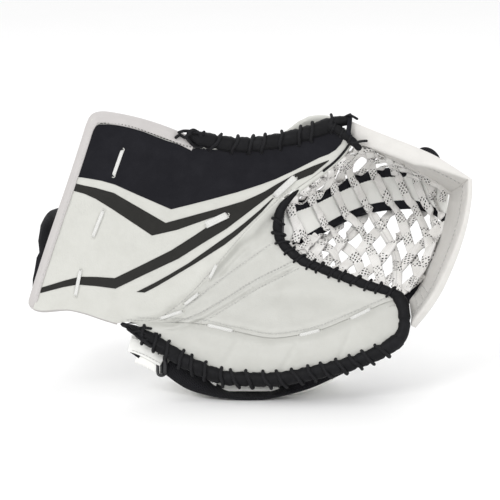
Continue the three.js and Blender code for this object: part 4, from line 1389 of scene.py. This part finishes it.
band()
spine()
thumb_edge_binding()
net()
rim_laces()

# ---- the back of the hand, the thumb and the fingers ---------------------------------------------
def back_depth(x):
    return 50 + 16 * np.exp(-(((np.asarray(x, float) + 20) / 70) ** 2))


def back_line(points):
    p = np.asarray(points, float)
    return np.stack([p[:, 0], back_depth(p[:, 0]), p[:, 1]], 1)


def seam_hold(lines, reach):
    """Pins what lies within reach of a seam, given in the design frame as x, z."""
    def held(points):
        near = np.zeros(len(points))
        for line in lines:
            distance, _ = to_line(points[:, 0], points[:, 2], line)
            near = np.maximum(near, smooth(1 - np.abs(distance) / reach))
        return near
    return held


def sew(pad, name, seams, outline, thread=THREAD_WHITE):
    """Stitches along a pad's seams and a piping round it, laid on it from behind after it is stuffed."""
    def laid(line, count, passes):
        flat = np.insert(spline(line, count), 1, 60.0, axis=1)
        return smoothed(laid_on(pad, flat, TOWARDS), passes)
    lines = [laid(line, 90, 2) for line in seams]
    runs = [stitched(line[1:-1], AWAY, 4.4, radius=0.5, rise=0.6) for line in lines if len(line) > 8]
    piece(f"{name}_stitching", merged(runs), thread)
    if outline:
        round_it = sweep(laid(outline, 160, 6), circle(1.5, 8), AWAY, ends="round")
        piece(f"{name}_piping", round_it, BLACK)


def thumb_guard():
    def edge(points, extra):
        return plain_face(points, 3 + extra)
    low = edge([(-46, 203), (-4, 211), (36, 225), (82, 250)], 26)
    high = edge([
        (-46, 260), (-2, 260), (20, 262.5), (36, 268.5), (46, 276), (57, 282.5), (68, 285), (84, 285),
    ], 13)
    grids = thickened(low, high, (46, 24), lambda i, j: -(5 + 6.5 * crown(i, j, 0.16, 0.2)))
    seams = [[(-46, 232), (82, 266)], [(-8, 205), (-10, 270)], [(38, 222), (34, 282)]]
    rims = [[(-46, 204), (-4, 212), (36, 226), (82, 251)], [(-46, 204), (-46, 262)]]
    pad = piece("thumb_guard_leather", between(*grids), WHITE, replaces=["thumb_guard"],
                stuff=(4.5, 3.5, seam_hold(seams + rims, 5)))
    sew(pad, "thumb_guard", seams, [(-40, 210), (-4, 217), (34, 230), (76, 253)])


def backhand():
    low = back_line([(-79, 58), (-50, 44), (-20, 34), (18, 32)])
    high = back_line([(-71, 132), (-40, 150), (-12, 152), (18, 132)])
    def thick(i, j):
        return -(5.5 + (7 + 7 * np.sin(np.pi * i) * np.sin(np.pi * j)) * crown(i, j, 0.12, 0.12))
    seams = [
        [(-80, 78), (-30, 66), (20, 62)],
        [(-80, 98), (-30, 94), (20, 92)],
        [(-80, 118), (-30, 122), (20, 118)],
    ]
    pad = piece("backhand_leather", between(*thickened(low, high, (52, 44), thick)), WHITE,
                replaces=["backhand_pad"], stuff=(4.0, 4.0, seam_hold(seams, 6)))
    sew(pad, "backhand", seams, [(-73, 62), (-50, 50), (-20, 40), (12, 38), (13, 80), (12, 126), (-12, 145),
                                 (-40, 143), (-65, 128), (-74, 95), (-73, 62)])


FINGER_BACKS = [  # for each roll its x range, and the z of its lower and upper edge at both ends
    ((21, 53), (31, 35), (130, 122)), ((55, 87), (35, 39), (121, 113)), ((89, 123), (40, 49), (112, 102)),
]


def finger_backs():
    for number, (x, low, high) in enumerate(FINGER_BACKS, 1):
        def edge(z):
            return back_line([(x[0], z[0]), ((x[0] + x[1]) / 2, (z[0] + z[1]) / 2), (x[1], z[1])])
        def thick(i, j):
            return -(5 + 10 * np.sin(np.pi * i) ** 0.7 * crown(i, j, 0.3, 0.12))
        middle = (x[0] + x[1]) / 2
        seams = [[(x[0] - 4, z), (x[1] + 4, z - 2)] for z in np.linspace(low[0] + 24, high[1] - 18, 3)]
        grids = thickened(edge(low), edge(high), (24, 50), thick)
        pad = piece(f"finger_back_{number}_padding", between(*grids), NYLON,
                    replaces=[f"finger_back_roll_{number}"],
                    stuff=(3.6, 3.5, seam_hold(seams, 5)))
        sew(pad, f"finger_back_{number}", seams, [], THREAD_BLACK)


def finger_back_lining():
    """The cloth that the pads on the fingers' backs are sewn to."""
    x = np.linspace(6, 126, 60)[:, None]
    share = np.linspace(0, 1, 24)[None, :]
    low = np.interp(x, [6, 53, 87, 126], [36, 39, 43, 53])
    high = np.interp(x, [6, 55, 89, 126], [128, 117, 108, 98])
    depth = back_depth(x) + 0 * share
    front = np.stack([x + 0 * share, depth + 0.4, low + (high - low) * share], -1)
    piece("finger_back_lining_nylon", backed(front, 1.4), NYLON, edge=0.4)


DIVIDERS = [((26, 98), (112, 90)), ((24, 78), (120, 76)), ((20, 58), (112, 62))]


def dividers():
    for number, ends in enumerate(DIVIDERS, 1):
        line = np.linspace(*ends, 30)
        front = face_depth(line[:, 0], line[:, 1]) + 13.5
        back = back_depth(line[:, 0]) - 1.0
        w = np.linspace(0, 1, 8)[None, :]
        depth = front[:, None] * (1 - w) + back[:, None] * w
        wave = 0.8 * np.sin(line[:, :1] * 0.2 + w * 3)
        def wall(rise):
            return np.stack([line[:, :1] + 0 * w, depth, line[:, 1:] + rise + wave], -1)
        piece(f"finger_divider_{number}_felt", between(wall(-1.1), wall(1.1)), FELT,
              replaces=[f"finger_divider_{number}"], edge=0.4)


def standing_z(depth):
    return (-5 + depth * math.sin(LEAN)) / math.cos(LEAN)


def edge_rise(x):
    return 0.020 * np.maximum(0, x - 40) ** 1.75 + 0.022 * np.maximum(0, -x - 40) ** 1.85


def little_finger_edge():
    rows, columns = 70, 34
    x = np.linspace(-79, 93, rows)[:, None]
    j = np.linspace(0, 1, columns)[None, :]
    depth = 25 + 72 * j + 0 * x
    base = standing_z(depth) + edge_rise(x)
    soft = crown(np.linspace(0, 1, rows)[:, None], j, 0.06, 0.14)
    over_strap = 8.5 * smooth((38 - depth) / 10)
    bottom = np.stack([x + 0 * j, depth, base + 1.6 * (1 - soft) + over_strap], -1)
    top = np.stack([x + 0 * j, depth, base + 7 + 6.5 * soft], -1)
    piece("little_finger_leather", between(bottom, top), PAINTED_LIGHT_WHITE, replaces=["little_finger_edge_pad"],
          edge=0.8)
    welts = []
    for share in (0.3, 0.62):
        rise = base[:, int(share * (columns - 1))] + 13.0
        line = np.stack([x[:, 0], 25 + 72 * share + 0 * x[:, 0], rise], 1)
        welts.append(sweep(resampled(line[3:-3], 80), circle(1.4, 8), UP, ends="round"))
    piece("little_finger_piping", merged(welts), BLACK)


def gusset(name, lower, upper, folds, node):
    """A thin nylon wall with soft folds that closes the gap between two padded edges."""
    grid, other = thickened(lower, upper, (60, 14), lambda i, j: 1.3)
    i = np.linspace(0, 1, 61)[:, None]
    j = np.linspace(0, 1, 15)[None, :]
    normal = unit(other - grid)
    wave = (1.1 * np.sin(i * folds) + 0.6 * np.sin(i * folds * 2.3 + 1)) * np.sin(np.pi * j)
    shift = normal * wave[..., None]
    piece(name, between(grid + shift, other + shift), NYLON, replaces=[node])


def gussets():
    gusset(
        "little_finger_gusset_nylon",
        [(-64, 56, 25), (-45, 56, 19), (-20, 56, 18), (20, 56, 18), (55, 56, 19.5), (88, 54, 29)],
        [(-67, 60, 52), (-45, 63, 42), (-20, 65, 34), (17, 61, 32), (55, 54.5, 36), (88, 50.5, 40)],
        31, "little_finger_gusset",
    )
    gusset(
        "finger_tip_gusset_nylon",
        [(123, 50, 47), (138, 34, 53), (150, 14, 64)],
        [(123, 50, 104), (138, 34, 103), (150, 16, 100)],
        14, "finger_tip_gusset",
    )
    stall = [(-45, 203), (-4, 210.5), (36, 224.5), (80, 249.5)]
    gusset("thumb_stall_gusset_nylon", plain_face(stall, 4), plain_face(stall, 29), 17, "thumb_stall_gusset")


gussets()
thumb_guard()
backhand()
finger_backs()
finger_back_lining()
dividers()
little_finger_edge()

# ---- cuff backing and wrist ----------------------------------------------------------------------
def cuff_layers():
    top = [(-146, 279), (-114, 273), (-90, 266), (-70, 257)]
    bottom = [(-208, 98), (-181, 99), (-146, 91), (-122, 87)]
    for name, material, node, front, back in (
        ("cuff_board_foam", FOAM, "cuff_board", 4.2, 16.0),
        ("cuff_lining_nylon", NYLON, "cuff_lining", 17.0, 19.4),
    ):
        grid = ruled(bottom, top, (50, 50))
        layer = between(plain_face(grid, front), plain_face(grid, back))
        piece(name, layer, material, replaces=[node], edge=0.8)
    seams = []
    for share in (0.25, 0.5, 0.75):
        line = ruled(bottom, top, (60, 60))[:, int(share * 60)]
        seams.append(stitched(plain_face(line[2:-2], 19.6), AWAY, 4.4, radius=0.4))
    piece("cuff_lining_stitching", merged(seams), THREAD_BLACK)


WRIST_DEPTH, WRIST_Z = 50.0, 150.0


def wrist_arc(angles, radii, x_from, x_to, steps=(60, 22), soft=0.16):
    """A padded arc round the wrist. Angles run from straight up, away from the palm; x limits by angle."""
    a = np.radians(np.linspace(*angles, steps[0]))[:, None]
    j = np.linspace(0, 1, steps[1])[None, :]
    i = np.linspace(0, 1, steps[0])[:, None]
    degrees = np.degrees(a)
    x0 = np.interp(degrees, *x_from) if isinstance(x_from, tuple) else x_from
    x = x0 + (x_to - x0) * j + 0 * degrees
    round_off = crown(i, j, 0.05, soft)
    middle, half = (radii[0] + radii[1]) / 2, (radii[1] - radii[0]) / 2
    def shell(sign):
        radius = middle + sign * half * (0.35 + 0.65 * round_off)
        return np.stack([x, WRIST_DEPTH + radius * np.sin(a), WRIST_Z + radius * np.cos(a)], -1)
    return shell(-1), shell(1)


def wrist():
    left = ([-46, 0, 20, 50, 75, 100], [-190, -197, -208, -216.5, -219.5, -218])
    upper = wrist_arc((-46, 100), (33.5, 43.5), left, -160)
    piece("wrist_wrap_padding", between(*upper), NYLON, THUMB, ["wrist_wrap"], edge=0.6)
    lower = wrist_arc((160, 226), (33.5, 43.5), ([160, 190, 226], [-221, -220, -206]), -160)
    piece("wrist_wrap_lower_padding", between(*lower), NYLON, THUMB, ["wrist_wrap_lower"],
          edge=0.6)
    flap_left = ([40, 64, 80, 100, 130, 160, 185, 196], [-203, -206, -214, -222, -225, -224, -217, -208])
    flap = wrist_arc((40, 196), (44.5, 48.5), flap_left, -166, (90, 22), 0.1)
    piece("wrist_flap_leather", between(*flap), BLACK, "wrist_flap", ["wrist_strap_flap"], edge=0.4)
    runs, pile = [], wrist_arc((44, 150), (43.7, 44.4), -196, -172, (50, 8), 0.1)
    for edge in (4.0, -4.0):
        a = np.radians(np.linspace(46, 190, 90))
        left = np.interp(np.degrees(a), *flap_left)
        x = left + edge if edge > 0 else np.full_like(a, -166 + edge)
        line = np.stack([x, WRIST_DEPTH + 48.6 * np.sin(a), WRIST_Z + 48.6 * np.cos(a)], 1)
        facing = np.stack([0 * a, np.sin(a), np.cos(a)], 1)
        runs.append(stitched(line, facing, 4.4, radius=0.4))
    piece("wrist_flap_stitching", merged(runs), THREAD_WHITE, "wrist_flap")
    piece("wrist_flap_pile", between(*pile), PILE, "wrist_flap")


# ---- the strap along the little-finger edge ------------------------------------------------------
def edge_strap():
    path = spline([
        (-84, 19.5, 34), (-78, 20, 29.5), (-70, 20.5, 23.5), (-60, 21, 17.5), (-44, 22, 11.5),
        (-22, 22.5, 4.8), (0, 23, 3.0), (22, 22.5, 5.0), (50, 22, 14.5), (80, 22, 28.0), (98, 22, 36.5),
    ], 130)
    x = path[:, 0]
    twist = np.radians(6 + 58 * smooth((x + 62) / 46) * smooth((80 - x) / 60))
    webbing = sweep(path, on_edge(17, 2.4), UP, twist=twist)
    turned_end = sweep(spline([(-119, 20.5, 50), (-115, 19, 47.5), (-110, 18, 44)], 20), on_edge(8, 2), UP)
    piece("edge_strap_webbing", merged([webbing, turned_end]), WEBBING, FINGER, ["edge_strap"])
    ahead, across, up = frames_along(path, UP)
    c, s = np.cos(twist)[:, None], np.sin(twist)[:, None]
    out, side = c * across + s * up, c * up - s * across
    lines = [(path + out * 1.3 + side * rise)[2:-2] for rise in (-6.6, 6.6)]
    rows = [stitched(line, out[2:-2], 4.0, radius=0.35) for line in lines]
    piece("edge_strap_stitching", merged(rows), THREAD_BLACK, FINGER)
    upper = spline([(-121, 17, 56), (-114, 16, 54), (-104, 15.2, 50), (-95, 15.4, 45), (-87, 17, 40.5)], 40)
    lower = spline([(-114, 19.5, 43), (-105, 18.6, 39.5), (-97, 18.6, 35.5), (-88, 19.6, 30.5)], 40)
    under = spline([(-88, 22.5, 39), (-76, 23.5, 33), (-64, 24.5, 25.5), (-50, 25, 18.5), (-34, 25, 14)], 40)
    sizes = ((17, 2.6), (13.5, 2.4), (9, 1.6))
    tabs = [sweep(line, on_edge(*size), UP) for line, size in zip((upper, lower, under), sizes)]
    piece("heel_tab_leather", merged(tabs), PAINTED_LIGHT_WHITE, FINGER, ["heel_tab"])
    rows = [stitched(upper[2:-3] + [0, -1.7, rise], TOWARDS, 3.4, radius=0.35) for rise in (-6.4, 6.4)]
    piece("heel_tab_stitching", merged(rows), THREAD_WHITE, FINGER)
    frame_loop = spline([
        (-92.2, 15.4, 47), (-89, 14.6, 48.2), (-85.6, 16, 46.6), (-84.8, 18, 40), (-84.8, 18, 32),
        (-85.4, 16.6, 25.4), (-89, 15, 23.6), (-92.4, 15.6, 25), (-93, 17, 32), (-93, 17, 40),
        (-92.2, 15.4, 47),
    ], 70)[:-1]
    middle = np.array([-88.9, 17, 36])
    bar = np.linspace([-89, 18.4, 46.6], [-89, 18.4, 25.2], 20)
    side = spline([(-85.6, 16.2, 26.5), (-85.2, 15.6, 34), (-85.6, 16.2, 42)], 20)
    buckle = [ring(frame_loop, circle(1.5, 12), middle), sweep(bar, circle(1.6, 10), AWAY),
              sweep(side, circle(2.4, 14), AWAY, ends="round")]
    piece("slide_buckle_plastic", merged(buckle), PLASTIC, "slide_buckle", ["slide_buckle"])


cuff_layers()
wrist()
edge_strap()
